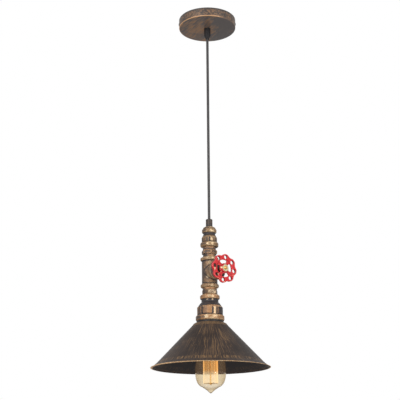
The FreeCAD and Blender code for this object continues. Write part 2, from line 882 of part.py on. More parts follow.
def reducing_socket(kind, level, bores):
    """A cast socket: small bead, neck, flare and ribbed body with pads, and a large bead at the mouth."""
    body = new_body(f"{kind}_reducing_socket", level, f"{kind}_rib_turn")
    small_top = f"(-{kind}_crown_drop - {kind}_plain)"
    small_end = f"({small_top} - {kind}_small_bead)"
    neck_end = f"({small_end} - {kind}_neck_length)"
    flare_end = f"({neck_end} - {kind}_flare)"
    body_end = f"({flare_end} - {kind}_body_length)"
    outer = [
        (f"{kind}_crown_radius", "0"),
        (f"{kind}_small_root", f"-{kind}_crown_drop"),
        *bead(f"{kind}_small_root", f"{kind}_small_rise", small_top, f"{kind}_small_bead"),
        (f"{kind}_neck_radius", f"{small_end} - 0.3"),
        (f"{kind}_neck_radius", neck_end, f"{kind}_flare * 0.08"),
        (f"{kind}_body_radius", flare_end),
        (f"{kind}_body_radius", body_end),
        *bead(f"{kind}_large_root", f"{kind}_large_rise", body_end, f"{kind}_large_bead"),
    ]
    turned(body, outer + bores)
    relief(body, kind, neck_end, flare_end, body_end)
    return body


def relief(body, kind, neck_end, flare_end, body_end):
    """Cast ribs that run into the large bead, and a raised pad between each two."""
    top_radius = f"({kind}_neck_radius * 0.5 + {kind}_body_radius * 0.5)"
    middle = f"(({neck_end}) * 0.5 + ({flare_end}) * 0.5)"
    face = f"({kind}_body_radius + {kind}_relief)"
    buried = 1.2
    rib = [
        (f"{top_radius} - {buried}", middle),
        (f"{top_radius} + {kind}_relief * 0.6", middle),
        (face, flare_end),
        (face, f"{body_end} - {kind}_large_bead * 0.4"),
        (f"{kind}_body_radius - {buried}", f"{body_end} - {kind}_large_bead * 0.4"),
        (f"{kind}_body_radius - {buried}", flare_end),
    ]
    width = f"{kind}_rib_width / {kind}_body_radius * 57.3"
    repeated(body, turned(body, rib, angle=width, turn=f"{180 / RELIEF_COUNT:g}"), RELIEF_COUNT)
    pad_end = f"({body_end} + {kind}_body_length * 0.14)"
    pad = [
        (f"{top_radius} - {buried}", middle),
        (f"{top_radius} + {kind}_relief * 0.5", middle),
        (face, f"{flare_end} + {kind}_flare * 0.08"),
        (face, pad_end),
        (f"{kind}_body_radius - {buried}", pad_end),
        (f"{kind}_body_radius - {buried}", flare_end),
    ]
    repeated(body, turned(body, pad, angle=f"{kind}_pad_angle"), RELIEF_COUNT)


def upper_reducing_socket():
    """From the top nipple's thread to the pipe thread."""
    foot = f"(-{UPPER_SOCKET_HEIGHT})"
    thread_end = f"({foot} + pipe_thread_length + seat_clearance)"
    bores = [
        ("pipe_thread_radius", foot),
        ("pipe_thread_radius", thread_end),
        ("pipe_bore - 1", thread_end),
        ("nipple_radius + thread_clearance", f"{thread_end} + 4"),
        ("nipple_radius + thread_clearance", "0"),
    ]
    reducing_socket("upper", UPPER_SOCKET_TOP, bores)


def lower_reducing_socket():
    """From the pipe thread to the wide chamber that holds the lampholder."""
    foot = f"(-{LOWER_SOCKET_HEIGHT})"
    thread_end = "(-pipe_thread_length - seat_clearance)"
    bores = [
        ("chamber_radius", foot),
        ("chamber_radius", "-chamber_depth"),
        ("chamber_throat", "-chamber_depth"),
        ("chamber_throat", "-chamber_depth + 6"),
        ("pipe_bore + 2", f"{thread_end} - 2"),
        ("pipe_bore + 2", thread_end),
        ("pipe_thread_radius", thread_end),
        ("pipe_thread_radius", "0"),
    ]
    reducing_socket("lower", LOWER_SOCKET_TOP, bores)


upper_reducing_socket()
lower_reducing_socket()


# Hexagon nipples


def hexagon_nipple(kind, level, neck_radius):
    """A pipe with a thread at each end and a cast hexagon between two necks."""
    body = new_body(f"{kind}_hexagon_nipple", level, f"{kind}_hexagon_turn")
    male = "pipe_thread_radius - thread_clearance"
    hexagon_top = f"(-{kind}_neck_show)"
    hexagon_foot = f"({hexagon_top} - {kind}_hexagon_height)"
    foot = f"({hexagon_foot} - {kind}_collar_show)"
    points = [
        ("pipe_bore", "pipe_thread_length"),
        ("pipe_bore", f"{foot} - pipe_thread_length"),
        (male, f"{foot} - pipe_thread_length"),
        (male, foot),
        (neck_radius, foot),
        (neck_radius, "0"),
        (male, "0"),
        (male, "pipe_thread_length"),
    ]
    turned(body, points)
    sketch = hexagon(sketch_on(body, "XY_Plane", hexagon_foot), "hexagon_radius")
    padded(body, circle(sketch, "0", "0", "pipe_bore + 1"), f"{kind}_hexagon_height")
    flat = "(hexagon_radius * cos(30))"
    drop = "(hexagon_radius * 0.09)"
    for edge, inward in ((hexagon_top, f"-{drop}"), (hexagon_foot, drop)):
        grooved(body, [
            (f"{flat} - 0.2", edge),
            (f"{flat} * 1.3", edge),
            (f"{flat} * 1.3", f"{edge} + {inward} * 1.6"),
            ("hexagon_radius", f"{edge} + {inward}"),
        ])
    return body, hexagon_foot, flat


def upper_hexagon_nipple():
    """The nipple above the tee, with a sunk panel in each flat."""
    body, foot, flat = hexagon_nipple("upper", UPPER_NIPPLE_TOP, "nipple_neck_radius")
    half = "(hexagon_radius / 2 - panel_border - 0.6)"
    sketch = sketch_on(body, "XY_Plane", f"{foot} + panel_border", "30")
    rectangle(sketch, f"{flat} - panel_depth", f"-{half}", f"{flat} + 1", half)
    repeated(body, cut_up(body, sketch, "upper_hexagon_height - panel_border * 2"), 6)


upper_hexagon_nipple()
hexagon_nipple("lower", LOWER_NIPPLE_TOP, "lower_nipple_neck_radius")


# Tee


def tee():
    """A cast tee: a run with a bead at each end, and a side outlet of the same size with its own bead."""
    body = new_body("tee", OUTLET_LEVEL, "outlet_turn")
    half = "(tee_length / 2)"
    run = [
        ("0", half),
        *bead("tee_radius", "tee_rise", half, "tee_bead"),
        *bead("tee_radius", "tee_rise", f"-{half} + tee_bead", "tee_bead"),
        ("0", f"-{half}"),
    ]
    turned(body, run)
    branch = [
        ("0", "0"),
        ("-tee_reach", "0"),
        *[(along, across) for across, along in mirrored_bead()],
        ("0", "tee_radius"),
    ]
    sketch = sketch_on(body, "YZ_Plane")
    outline(sketch, branch)
    feature = body.newObject("PartDesign::Revolution", "tee_branch")
    feature.Profile = sketch
    feature.ReferenceAxis = (sketch, ["H_Axis"])
    feature.Midplane = True
    bind(feature, "Angle", "360")
    body.Tip = feature
    run_bore = sketch_on(body, "XY_Plane", f"-{half}")
    cut_up(body, circle(run_bore, "0", "0", "pipe_bore + 1"), "tee_length")
    for foot in (f"-{half}", f"{half} - pipe_thread_length - seat_clearance"):
        thread = circle(sketch_on(body, "XY_Plane", foot), "0", "0", "pipe_thread_radius")
        cut_up(body, thread, "pipe_thread_length + seat_clearance")
    outlet = sketch_on(body, "XZ_Plane")
    circle(outlet, "0", "0", "pipe_thread_radius")
    bind(outlet, "AttachmentOffset.Base.z", "tee_reach")
    mouth = body.newObject("PartDesign::Pocket", "tee_outlet")
    mouth.Profile = outlet
    bind(mouth, "Length", "tee_reach - pipe_bore + 2")
    body.Tip = mouth


def mirrored_bead():
    """The outlet bead's points, from its face back to the branch."""
    corner = "tee_bead * 0.34"
    return [
        ("tee_radius", "-tee_reach"),
        ("tee_radius + tee_rise", f"-tee_reach + {corner}"),
        ("tee_radius + tee_rise", f"-tee_reach + tee_bead - {corner}"),
        ("tee_radius", "-tee_reach + tee_bead"),
    ]


tee()


# Outlet and handwheel


def outlet_bush():
    """The bush screwed into the outlet, with a flat flange against the tee's face."""
    body = outlet_body("outlet_bush", "tee_reach")
    points = [
        ("spindle_radius + running_clearance", "bush_flange_height"),
        ("spindle_radius + running_clearance", "-bush_depth"),
        ("pipe_thread_radius - thread_clearance", "-bush_depth"),
        ("pipe_thread_radius - thread_clearance", "0"),
        ("bush_flange_radius", "0"),
        ("bush_flange_radius", "bush_flange_height"),
    ]
    turned(body, points)


def gland_nut():
    """The hexagon nut on the bush, round the spindle."""
    body = outlet_body("gland_nut", "tee_reach + bush_flange_height")
    sketch = hexagon(sketch_on(body, "XY_Plane"), "gland_radius")
    padded(body, circle(sketch, "0", "0", "spindle_radius + running_clearance"), "gland_height")


def valve_spindle():
    """The spindle: a collar behind the bush and a plain rod out to the wheel's hub."""
    body = outlet_body("valve_spindle", "tee_reach")
    behind = "(-bush_depth - running_clearance * 2)"
    front = "(wheel_reach - tee_reach + wheel_hub_front)"
    points = [
        ("0", f"{behind} - spindle_collar_height"),
        ("spindle_collar_radius", f"{behind} - spindle_collar_height"),
        ("spindle_collar_radius", behind),
        ("spindle_radius", behind),
        ("spindle_radius", front),
        ("screw_shank_radius + thread_clearance", front),
        ("screw_shank_radius + thread_clearance", f"{front} - screw_shank_length"),
        ("0", f"{front} - screw_shank_length"),
    ]
    turned(body, points)


def wheel_edge():
    """The scalloped edge seen from the front: a lobe at each hole and a valley between each two."""
    share = 360 / WHEEL_LOBES
    radius = "(wheel_radius - wheel_lobe_drop)"
    half_lobe = "(wheel_lobe_angle / 2)"
    half_valley = f"({share / 2} - wheel_lobe_angle / 2)"
    lobe = f"{radius} * cos{half_lobe} - wheel_radius"
    valley = f"{radius} * cos{half_valley} - (wheel_radius - wheel_valley_depth)"
    points = []
    for index in range(WHEEL_LOBES):
        middle = f"{share * index}"
        points.append((f"{radius} * cos({middle} - {half_lobe})", f"{radius} * sin({middle} - {half_lobe})", lobe))
        points.append((f"{radius} * cos({middle} + {half_lobe})", f"{radius} * sin({middle} + {half_lobe})", valley))
    return points


def handwheel():
    """A cast wheel: a hub, a web with curved windows, and a scalloped rim with a hole in each lobe."""
    body = outlet_body("handwheel", "wheel_reach")
    web = "(wheel_web_thickness / 2)"
    rim = "(wheel_rim_thickness / 2)"
    rim_inner = "(wheel_radius - wheel_rim_width)"
    edge = "(wheel_radius - wheel_rim_thickness * 0.2)"
    round_off = "wheel_rim_thickness * 0.06"
    bore = "spindle_radius + thread_clearance"
    points = [
        (bore, "wheel_hub_front"),
        (bore, "-wheel_hub_back"),
        ("wheel_hub_radius", "-wheel_hub_back"),
        ("wheel_hub_radius", f"-{web}"),
        (rim_inner, f"-{web}"),
        (f"{rim_inner} + 1.2", f"-{rim}"),
        (edge, f"-{rim}", f"-{round_off}"),
        ("wheel_radius", f"-{rim} * 0.55"),
        ("wheel_radius", f"{rim} * 0.55", f"-{round_off}"),
        (edge, rim),
        (f"{rim_inner} + 1.2", rim),
        (rim_inner, web),
        ("wheel_hub_radius", web),
        ("wheel_hub_radius - 0.8", "wheel_hub_front"),
    ]
    turned(body, points)
    through = "wheel_rim_thickness * 2"
    sketch = outline(sketch_on(body, "XY_Plane", turn="wheel_hole_turn"), wheel_edge())
    cut_both(body, circle(sketch, "0", "0", "wheel_radius * 1.5"), through)
    hole = circle(sketch_on(body, "XY_Plane", turn="wheel_hole_turn"), "wheel_hole_circle", "0", "wheel_hole_radius")
    repeated(body, cut_both(body, hole, through), WHEEL_LOBES)
    half = "(wheel_window_angle / 2)"
    window = [
        (f"wheel_window_inner * cos{half}", f"-wheel_window_inner * sin{half}"),
        (f"wheel_window_outer * cos{half}", f"-wheel_window_outer * sin{half}", f"-wheel_window_outer * (1 - cos{half})"),
        (f"wheel_window_outer * cos{half}", f"wheel_window_outer * sin{half}"),
        (f"wheel_window_inner * cos{half}", f"wheel_window_inner * sin{half}", f"wheel_window_inner * (1 - cos{half})"),
    ]
    sketch = outline(sketch_on(body, "XY_Plane", turn="wheel_window_turn"), window)
    repeated(body, cut_both(body, sketch, through), WHEEL_WINDOWS)


def wheel_washer():
    """The brass washer on the front of the hub."""
    body = outlet_body("wheel_washer", "wheel_reach + wheel_hub_front")
    ring(body, "screw_shank_radius + seat_clearance", "washer_radius", "0", "washer_thickness")


def wheel_screw():
    """The brass screw that holds the wheel to the spindle."""
    body = outlet_body("wheel_screw", "wheel_reach + wheel_hub_front + washer_thickness")
    points = [
        ("0", "screw_head_height"),
        ("0", "-washer_thickness - screw_shank_length + seat_clearance"),
        ("screw_shank_radius", "-washer_thickness - screw_shank_length + seat_clearance"),
        ("screw_shank_radius", "0"),
        ("screw_head_radius", "0"),
        ("screw_head_radius", "screw_head_height * 0.35", "-screw_head_height * 0.2"),
        ("screw_head_radius * 0.15", "screw_head_height"),
    ]
    turned(body, points)


outlet_bush()
gland_nut()
valve_spindle()
handwheel()
wheel_washer()
wheel_screw()


# Lampholder and its carrier


def holder_plate():
    """The steel disc against the step of the lower socket, carrying the lampholder."""
    body = new_body("holder_plate", PLATE_TOP)
    hole = "holder_tube_radius + thread_clearance"
    ring(body, hole, "chamber_radius - seat_clearance", "-plate_thickness", "0")
    sketch = circle(
        sketch_on(body, "XY_Plane", "-plate_thickness"), "plate_screw_offset", "0",
        "plate_screw_radius + thread_clearance"
    )
    cut_up(body, sketch, "plate_thickness")


def holder_tube():
    """The threaded tube through the plate into the lampholder's cap."""
    body = new_body("holder_tube", PLATE_TOP)
    ring(
        body, "holder_tube_bore", "holder_tube_radius", "-plate_thickness - holder_tube_grip", "holder_tube_rise"
    )


def plate_earth_screw():
    """The earth screw of the pipework, its head above the plate by the lead hooked under it."""
    body = new_body("plate_earth_screw", PLATE_TOP)
    bind(body, "Placement.Base.x", "plate_screw_offset")
    seat = "(core_radius * 2 + seat_clearance)"
    points = [
        ("0", f"{seat} + plate_head_height"),
        ("0", "-plate_thickness"),
        ("plate_screw_radius", "-plate_thickness"),
        ("plate_screw_radius", seat),
        ("plate_head_radius", seat),
        ("plate_head_radius", f"{seat} + plate_head_height * 0.5", "-plate_head_height * 0.15"),
        ("plate_head_radius * 0.6", f"{seat} + plate_head_height"),
    ]
    turned(body, points)


def lampholder_cap():
    """The domed upper half of the lampholder, screwed onto the threaded tube."""
    body = new_body("lampholder_cap", CAP_TOP)
    height = f"(({CAP_TOP}) - ({SKIRT_TOP}))"
    dome = f"(cap_boss_height + ({height} - cap_boss_height) * 0.55)"
    bore = "holder_tube_radius + thread_clearance"
    points = [
        (bore, "0"),
        (bore, "-cap_boss_height - cap_wall"),
        ("cap_boss_radius", "-cap_boss_height - cap_wall"),
        ("cap_radius - cap_wall", f"-{dome} - cap_wall * 0.4"),
        ("cap_radius - cap_wall", f"-{height}"),
        ("cap_radius", f"-{height}"),
        ("cap_radius", f"-{dome}", "-1.5"),
        ("cap_boss_radius", "-cap_boss_height"),
        ("cap_boss_radius", "0"),
    ]
    turned(body, points)


def lampholder_skirt():
    """The lower half: flange on the shade, outer thread for the ring, and a ledge for the insert."""
    body = new_body("lampholder_skirt", SHADE_TOP)
    points = [
        ("skirt_bore", "skirt_rise"),
        ("skirt_bore", "-skirt_ledge_drop"),
        ("skirt_ledge_bore", "-skirt_ledge_drop"),
        ("skirt_ledge_bore", "-skirt_drop"),
        ("skirt_radius", "-skirt_drop"),
        ("skirt_radius", "0"),
        ("skirt_flange_radius", "0"),
        ("skirt_flange_radius", "skirt_flange_height"),
        ("skirt_radius", "skirt_flange_height"),
        ("skirt_radius", "skirt_rise"),
    ]
    turned(body, points)


def lampholder_insert():
    """The ceramic disc on the ledge, carrying the contacts and the terminal posts."""
    body = new_body("lampholder_insert", INSERT_BASE)
    disc(body, "skirt_bore - seat_clearance", "0", "insert_height")


def holder_contacts():
    """The brass screw shell and the sprung centre contact under the insert."""
    shell = new_body("screw_shell", INSERT_BASE)
    outer = "shell_bore + shell_wall"
    points = [
        ("shell_bore", "-shell_wall"),
        ("shell_bore", "-shell_length"),
        (outer, "-shell_length"),
        (outer, "0"),
        ("contact_radius * 2", "0"),
        ("contact_radius * 2", "-shell_wall"),
    ]
    turned(shell, points)
    contact = new_body("centre_contact", INSERT_BASE)
    points = [
        ("0", "0"),
        ("0", "-contact_drop"),
        ("contact_radius * 0.5", "-contact_drop"),
        ("contact_radius", "-contact_drop * 0.45"),
        ("contact_radius", "0"),
    ]
    turned(contact, points)


def holder_terminals():
    """Two brass posts on the insert, each with a screw for its lead."""
    posts = new_body("holder_terminals", f"{INSERT_BASE} + insert_height")
    post = circle(sketch_on(posts, "XY_Plane"), "0", "post_circle", "post_radius")
    repeated(posts, padded(posts, post, "post_height"), HOLDER_POSTS)
    hole = circle(sketch_on(posts, "XZ_Plane"), "0", "post_height / 2", "core_radius + thread_clearance")
    cut_both(posts, hole, "post_circle * 2")
    screws = new_body("holder_terminal_screws", f"{INSERT_BASE} + insert_height + post_height")
    screw = circle(sketch_on(screws, "XY_Plane"), "0", "post_circle", "post_screw_radius")
    repeated(screws, padded(screws, screw, "post_screw_height"), HOLDER_POSTS)


def shade_ring():
    """The notched ring on the skirt's thread, clamping the shade against the flange."""
    body = new_body("shade_ring", f"{SHADE_TOP} - shade_wall")
    inner = "skirt_radius + thread_clearance"
    ring(body, inner, "shade_ring_radius", "-shade_ring_height", "0")
    notch = circle(
        sketch_on(body, "XY_Plane", "-shade_ring_height"), "shade_ring_radius + shade_ring_notch * 0.3", "0",
        "shade_ring_notch"
    )
    repeated(body, cut_up(body, notch, "shade_ring_height * 0.7"), RING_NOTCHES)


holder_plate()
holder_tube()
locknut(
    "holder_locknut", PLATE_TOP, "holder_nut_flats", "holder_nut_height", "holder_tube_radius + thread_clearance"
)
plate_earth_screw()
lampholder_cap()
lampholder_skirt()
lampholder_insert()
holder_contacts()
holder_terminals()
shade_ring()


# Collar and shade


def shade_collar():
    """The dark spacer between the lower socket and the shade."""
    body = new_body("shade_collar", COLLAR_TOP)
    ring(body, "collar_bore", "collar_radius", "-collar_height", "0")


def shade():
    """A spun cone with a rounded shoulder, a slightly flared lip and a rolled rim."""
    body = new_body("shade", SHADE_TOP)
    lip = "(shade_radius - shade_lip_run)"
    slope = f"(({lip} - shade_shoulder_radius) / (shade_height - shade_lip_height - shade_shoulder_drop))"
    thick = f"(shade_wall * sqrt(1 + 1 / {slope}^2))"
    bead_radius = "(shade_radius - rim_bead_radius)"
    bead_level = "(-shade_height + rim_bead_radius)"
    neck = "(shade_wall * 0.7)"
    reach = f"sqrt(rim_bead_radius^2 - {neck}^2)"
    shoulder = "(shade_shoulder_radius - shade_crown_radius) * 0.16"
    points = [
        ("shade_hole_radius", "-shade_wall"),
        ("shade_crown_radius - shade_wall * 0.4", "-shade_wall", shoulder),
        ("shade_shoulder_radius", f"-shade_shoulder_drop - {thick}"),
        (lip, f"-shade_height + shade_lip_height - {thick}"),
        (f"{bead_radius} - {reach}", f"{bead_level} - {neck}", f"-rim_bead_radius - {reach}"),
        (f"{bead_radius} - {reach}", f"{bead_level} + {neck}"),
        (lip, "-shade_height + shade_lip_height"),
        ("shade_shoulder_radius", "-shade_shoulder_drop", f"-{shoulder}"),
        ("shade_crown_radius", "0"),
        ("shade_hole_radius", "0"),
    ]
    turned(body, points)


shade_collar()
shade()


# Bulb


def bulb_cap():
    """The brass screw cap, its glass insulator and its tip contact."""
    shell = new_body("bulb_cap", BULB_TOP)
    top = "(-tip_height - insulator_height)"
    foot = f"({top} - bulb_cap_height)"
    inner = "(bulb_cap_radius - bulb_cap_wall)"
    points = [
        ("insulator_radius", top),
        ("insulator_radius", f"{top} - bulb_cap_wall"),
        (inner, f"{top} - bulb_cap_wall * 4"),
        (inner, foot),
        ("bulb_cap_radius", foot),
        ("bulb_cap_radius", f"{top} - bulb_cap_wall * 3"),
    ]
    turned(shell, points)
    insulator = new_body("cap_insulator", BULB_TOP)
    points = [
        ("0", "-tip_height"),
        ("0", top),
        ("insulator_radius", top),
        ("tip_radius * 1.3", "-tip_height"),
    ]
    turned(insulator, points)
    tip = new_body("cap_tip_contact", BULB_TOP)
    points = [
        ("0", "0"),
        ("0", "-tip_height"),
        ("tip_radius", "-tip_height"),
        ("tip_radius", "-tip_height * 0.6", "-tip_height * 0.15"),
        ("tip_radius * 0.3", "0"),
    ]
    turned(tip, points)


def glass_side(inset):
    """The envelope's outline from the neck down to the tip, drawn inwards by a wall."""
    foot = "(-tip_height - insulator_height - bulb_cap_height)"
    wide = f"(bulb_radius - {inset})"
    return [
        (f"bulb_cap_radius - bulb_cap_wall - seat_clearance - {inset}", f"{foot} + 6"),
        (f"bulb_cap_radius - bulb_cap_wall - seat_clearance - {inset}", f"{foot} - 1"),
        (f"bulb_neck_radius - {inset}", f"{foot} - 6", "3.2"),
        (wide, "-bulb_length + bulb_widest_rise"),
        (wide, "-bulb_length + bulb_widest_rise - bulb_widest_run", "0.95"),
        (f"bulb_shoulder_radius - {inset}", "-bulb_length + bulb_shoulder_rise", "0.6"),
        (f"bulb_cone_radius - {inset}", "-bulb_length + bulb_cone_rise", "-bulb_cone_hollow"),
        ("2.4", f"-bulb_length + 1.2 + {inset} * 1.2"),
        ("0", f"-bulb_length + {inset} * 1.6"),
    ]


def bulb_glass():
    """The blown envelope, wide below and drawn to a point, open only at the neck."""
    body = new_body("bulb_glass", BULB_TOP)
    inner = glass_side("bulb_glass_wall")
    back = []
    for index in range(len(inner) - 1, -1, -1):
        crown = inner[index - 1][2:] if index else ()
        back.append((inner[index][0], inner[index][1], *[f"-({text})" for text in crown]))
    turned(body, glass_side("0") + back)


def bulb_stem():
    """The pinched glass stem: a flare that closes the neck and a rod that carries the cage."""
    body = new_body("bulb_stem", BULB_TOP)
    top = "(-tip_height - insulator_height - bulb_cap_height + 3)"
    foot = "(-bulb_length + cage_rise)"
    rod_start = f"({top} - stem_flare_drop)"
    points = [
        ("0", top),
        ("0", f"{foot} - stem_hub_radius"),
        ("stem_hub_radius * 0.6", f"{foot} - stem_hub_radius"),
        ("stem_hub_radius", foot),
        ("stem_rod_radius", f"{foot} + stem_hub_radius"),
        ("stem_rod_radius", rod_start),
        ("stem_rod_radius * 2", f"{rod_start} + 5"),
        ("stem_flare_radius", f"{top} - 2"),
        ("stem_flare_radius", top),
    ]
    turned(body, points)


bulb_cap()
bulb_glass()
bulb_stem()


# Leads, wires and filament


def section(wire, radius, sides):
    """The wire's section at its start: a circle, or a polygon of the same reach for the thinnest wires."""
    centre, heading = wire.Edges[0].Vertexes[0].Point, wire.Edges[0].tangentAt(0)
    if not sides:
        return Part.Face(Part.Wire([Part.Circle(centre, heading, radius).toShape()]))
    across = heading.cross(Vector(heading.y, heading.z, -heading.x)).normalize()
    turn = FreeCAD.Rotation(heading, 360 / sides)
    corners = [centre + across * radius]
    for _ in range(sides):
        across = turn.multVec(across)
        corners.append(centre + across * radius)
    return Part.Face(Part.makePolygon(corners))


def tube(name, wires, radius, sides=0):
    """Wire of one radius along each path."""
    solids = [wire.makePipe(section(wire, value(radius), sides)) for wire in wires]
    feature = doc.addObject("Part::Feature", name)
    feature.Label = name
    feature.Shape = solids[0] if len(solids) == 1 else Part.makeCompound(solids)
    feature.Placement = FreeCAD.Placement(Vector(0, 0, 0), FreeCAD.Rotation())
    return feature


def rounded_path(points, radius):
    """The edges of straight runs joined by tangent arcs of one radius."""
    edges = []
    last = points[0]
    for before, corner, after in zip(points, points[1:], points[2:]):
        arriving = (corner - before).normalize()
        leaving = (after - corner).normalize()
        turn = arriving.getAngle(leaving)
        cut = radius * math.tan(turn / 2)
        start, stop = corner - arriving * cut, corner + leaving * cut
        inward = (leaving - arriving).normalize()
        middle = corner + inward * (radius / math.cos(turn / 2) - radius)
        edges.append(Part.LineSegment(last, start).toShape())
        edges.append(Part.Arc(start, middle, stop).toShape())
        last = stop
    edges.append(Part.LineSegment(last, points[-1]).toShape())
    return edges


def polar(radius, angle, level):
    """A point at a radius, an angle in degrees and a level."""
    return Vector(radius * math.cos(math.radians(angle)), radius * math.sin(math.radians(angle)), level)


def core_at(way, level):
    """Where one of the three cores runs: the earth towards +X, then the live and the neutral."""
    return polar(value("core_pitch_radius"), 120 * way, level)


def ceiling_leads():
    """Above the grip: the live and the neutral bend over into the block, the earth into its crimped tag."""
    level = value(f"{CANOPY_FACE} + canopy_wall + sheath_rise")
    bend = value("core_bend")
    entry = value("-bracket_thickness - block_height / 2")
    face = value("-block_offset + block_width / 2")
    for name, way, side in (("ceiling_live_lead", 1, 1), ("ceiling_neutral_lead", 2, -1)):
        along = side * value("block_pitch")
        points = [
            core_at(way, level),
            core_at(way, entry),
            Vector(face + bend, along, entry),
            Vector(face - value("block_lead_depth"), along, entry),
        ]
        tube(name, [Part.Wire(rounded_path(points, bend))], "core_radius")
    axis = value("-bracket_thickness - barrel_radius - tag_thickness * 0.5")
    points = [core_at(0, level), core_at(0, axis), Vector(value("earth_offset - tag_radius - 0.9"), 0, axis)]
    tube("ceiling_earth_lead", [Part.Wire(rounded_path(points, bend))], "core_radius")


def holder_leads():
    """Down the pipe: the live and the neutral to the lampholder's posts, the earth round the plate's screw."""
    level = value(f"{NIPPLE_TOP} - sheath_drop")
    bend = value("core_bend")
    entry = value(f"{INSERT_BASE} + insert_height + post_height / 2")
    for name, way, side in (("holder_live_lead", 1, 1), ("holder_neutral_lead", 2, -1)):
        points = [
            core_at(way, level),
            core_at(way, entry + 3 * bend),
            Vector(0, side * value("post_circle / 2"), entry),
            Vector(0, side * value("post_circle"), entry),
        ]
        tube(name, [Part.Wire(rounded_path(points, bend))], "core_radius")
    lying = value(f"{PLATE_TOP} + core_radius")
    loop = value("plate_screw_radius + seat_clearance + core_radius")
    screw = Vector(value("plate_screw_offset"), 0, lying)
    straight = Vector(0, -loop, 0)
    points = [
        core_at(0, level),
        core_at(0, lying + 4 * bend),
        screw + straight - Vector(value("plate_head_radius + core_bend * 0.6"), 0, 0),
        screw + straight,
    ]
    hook = Part.Arc(screw + straight, screw + Vector(loop, 0, 0), screw + Vector(0, loop, 0)).toShape()
    tube("holder_earth_lead", [Part.Wire(rounded_path(points, bend) + [hook])], "core_radius")


def filament():
    """One thin wire up and down the cage, with a rounded bend at each end of each strand."""
    radius, top = value("cage_radius"), value(f"{BULB_TOP} - cage_top")
    foot = value(f"{BULB_TOP} - bulb_length + cage_rise")
    points = []
    for strand in range(CAGE_STRANDS):
        angle = 360 / CAGE_STRANDS * (strand + 0.5)
        ends = (top, foot) if strand % 2 == 0 else (foot, top)
        points += [polar(radius, angle, level) for level in ends]
    tube("filament", [Part.Wire(rounded_path(points, value("cage_bend")))], "cage_wire_radius", WIRE_SIDES)
    return points[0], points[-1]


def filament_supports():
    """A wire from the stem to each bend of the filament, near the top and at the stem's foot."""
    step = 360 / CAGE_STRANDS
    reach = value("cage_radius") * math.cos(math.radians(step / 2)) - value("cage_wire_radius + thread_clearance")
    wires = []
    for pair in range(1, CAGE_STRANDS):
        foot = pair % 2 == 1
        level = value(f"{BULB_TOP} - bulb_length + cage_rise" if foot else f"{BULB_TOP} - cage_top")
        start = value("stem_hub_radius" if foot else "stem_rod_radius")
        angle = step * pair
        wires.append(Part.Wire([Part.LineSegment(polar(start, angle, level), polar(reach, angle, level)).toShape()]))
    tube("filament_supports", wires, "support_radius", WIRE_SIDES)


def bulb_lead_ins(ends):
    """The two wires from the stem's pinch to the ends of the filament."""
    wires = []
    for end in ends:
        angle = math.degrees(math.atan2(end.y, end.x))
        start = polar(value("stem_rod_radius * 2"), angle, end.z + 9)
        lift = Vector(0, 0, value("cage_wire_radius + support_radius"))
        wires.append(Part.Wire([Part.LineSegment(start, end + lift).toShape()]))
    tube("bulb_lead_ins", wires, "support_radius", WIRE_SIDES)


ceiling_leads()
holder_leads()
bulb_lead_ins(filament())
filament_supports()


# Checks and export


def sub_parts():
    """Every object that stands for a piece of the lamp."""
    kinds = ("PartDesign::Body", "Part::Feature")
    return [item for item in doc.Objects if item.TypeId in kinds]


def check_model():
    """Stops where an object has failed or a piece has no valid solid."""
    for item in doc.Objects:
        if "Invalid" in item.State or "Error" in item.State:
            raise RuntimeError(f"{item.Name} failed: {item.State}")
    for piece in sub_parts():
        if piece.Shape.isNull() or not piece.Shape.isValid() or not piece.Shape.Solids:
            raise RuntimeError(f"{piece.Label} has no valid solid")


doc.recompute()
check_model()
for piece in sub_parts():
    piece.Shape.exportStep(f"parts/{piece.Label}.step")
    print(piece.Label, len(piece.Shape.Solids), round(piece.Shape.Volume, 2))
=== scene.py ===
import math

import bmesh
import bpy
from mathutils import Matrix, Vector


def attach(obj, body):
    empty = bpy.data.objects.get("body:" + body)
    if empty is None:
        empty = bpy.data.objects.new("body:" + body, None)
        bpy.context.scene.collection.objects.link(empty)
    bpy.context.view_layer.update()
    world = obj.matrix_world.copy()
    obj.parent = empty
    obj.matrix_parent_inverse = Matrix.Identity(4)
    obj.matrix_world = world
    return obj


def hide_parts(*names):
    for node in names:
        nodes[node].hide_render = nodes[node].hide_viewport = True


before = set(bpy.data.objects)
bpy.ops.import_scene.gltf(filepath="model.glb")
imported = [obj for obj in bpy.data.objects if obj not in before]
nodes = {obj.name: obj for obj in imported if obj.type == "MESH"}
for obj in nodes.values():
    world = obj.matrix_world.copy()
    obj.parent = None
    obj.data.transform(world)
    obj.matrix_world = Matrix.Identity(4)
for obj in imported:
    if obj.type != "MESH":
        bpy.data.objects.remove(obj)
scene = bpy.context.scene
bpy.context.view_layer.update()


# Camera
# The photograph looks up at the lamp from two metres off and from below the shade, with the camera a little askew.
# Its place, its tilt and its lens come from the ellipses of the canopy and of the shade's rim.

CAMERA_PLACE = (-0.0195, -1.9508, -1.0204)
CAMERA_RISE = 16.75
CAMERA_ROLL = -0.4
CAMERA_LENS = 83.92
CAMERA_SENSOR = 36

camera_data = bpy.data.cameras.new("camera")
camera_data.sensor_width = CAMERA_SENSOR
camera_data.lens = CAMERA_LENS
camera = bpy.data.objects.new("camera", camera_data)
scene.collection.objects.link(camera)
looking_up = Matrix.Rotation(math.radians(90 + CAMERA_RISE), 4, "X")
askew = Matrix.Rotation(math.radians(CAMERA_ROLL), 4, "Z")
camera.matrix_world = Matrix.Translation(CAMERA_PLACE) @ looking_up @ askew
scene.camera = camera


# Cord
# A round flex in a black sheath. It hangs straight under the lamp's weight, from the grip's mouth down to the bush
# in the top nipple, and its two ends go on inside both.


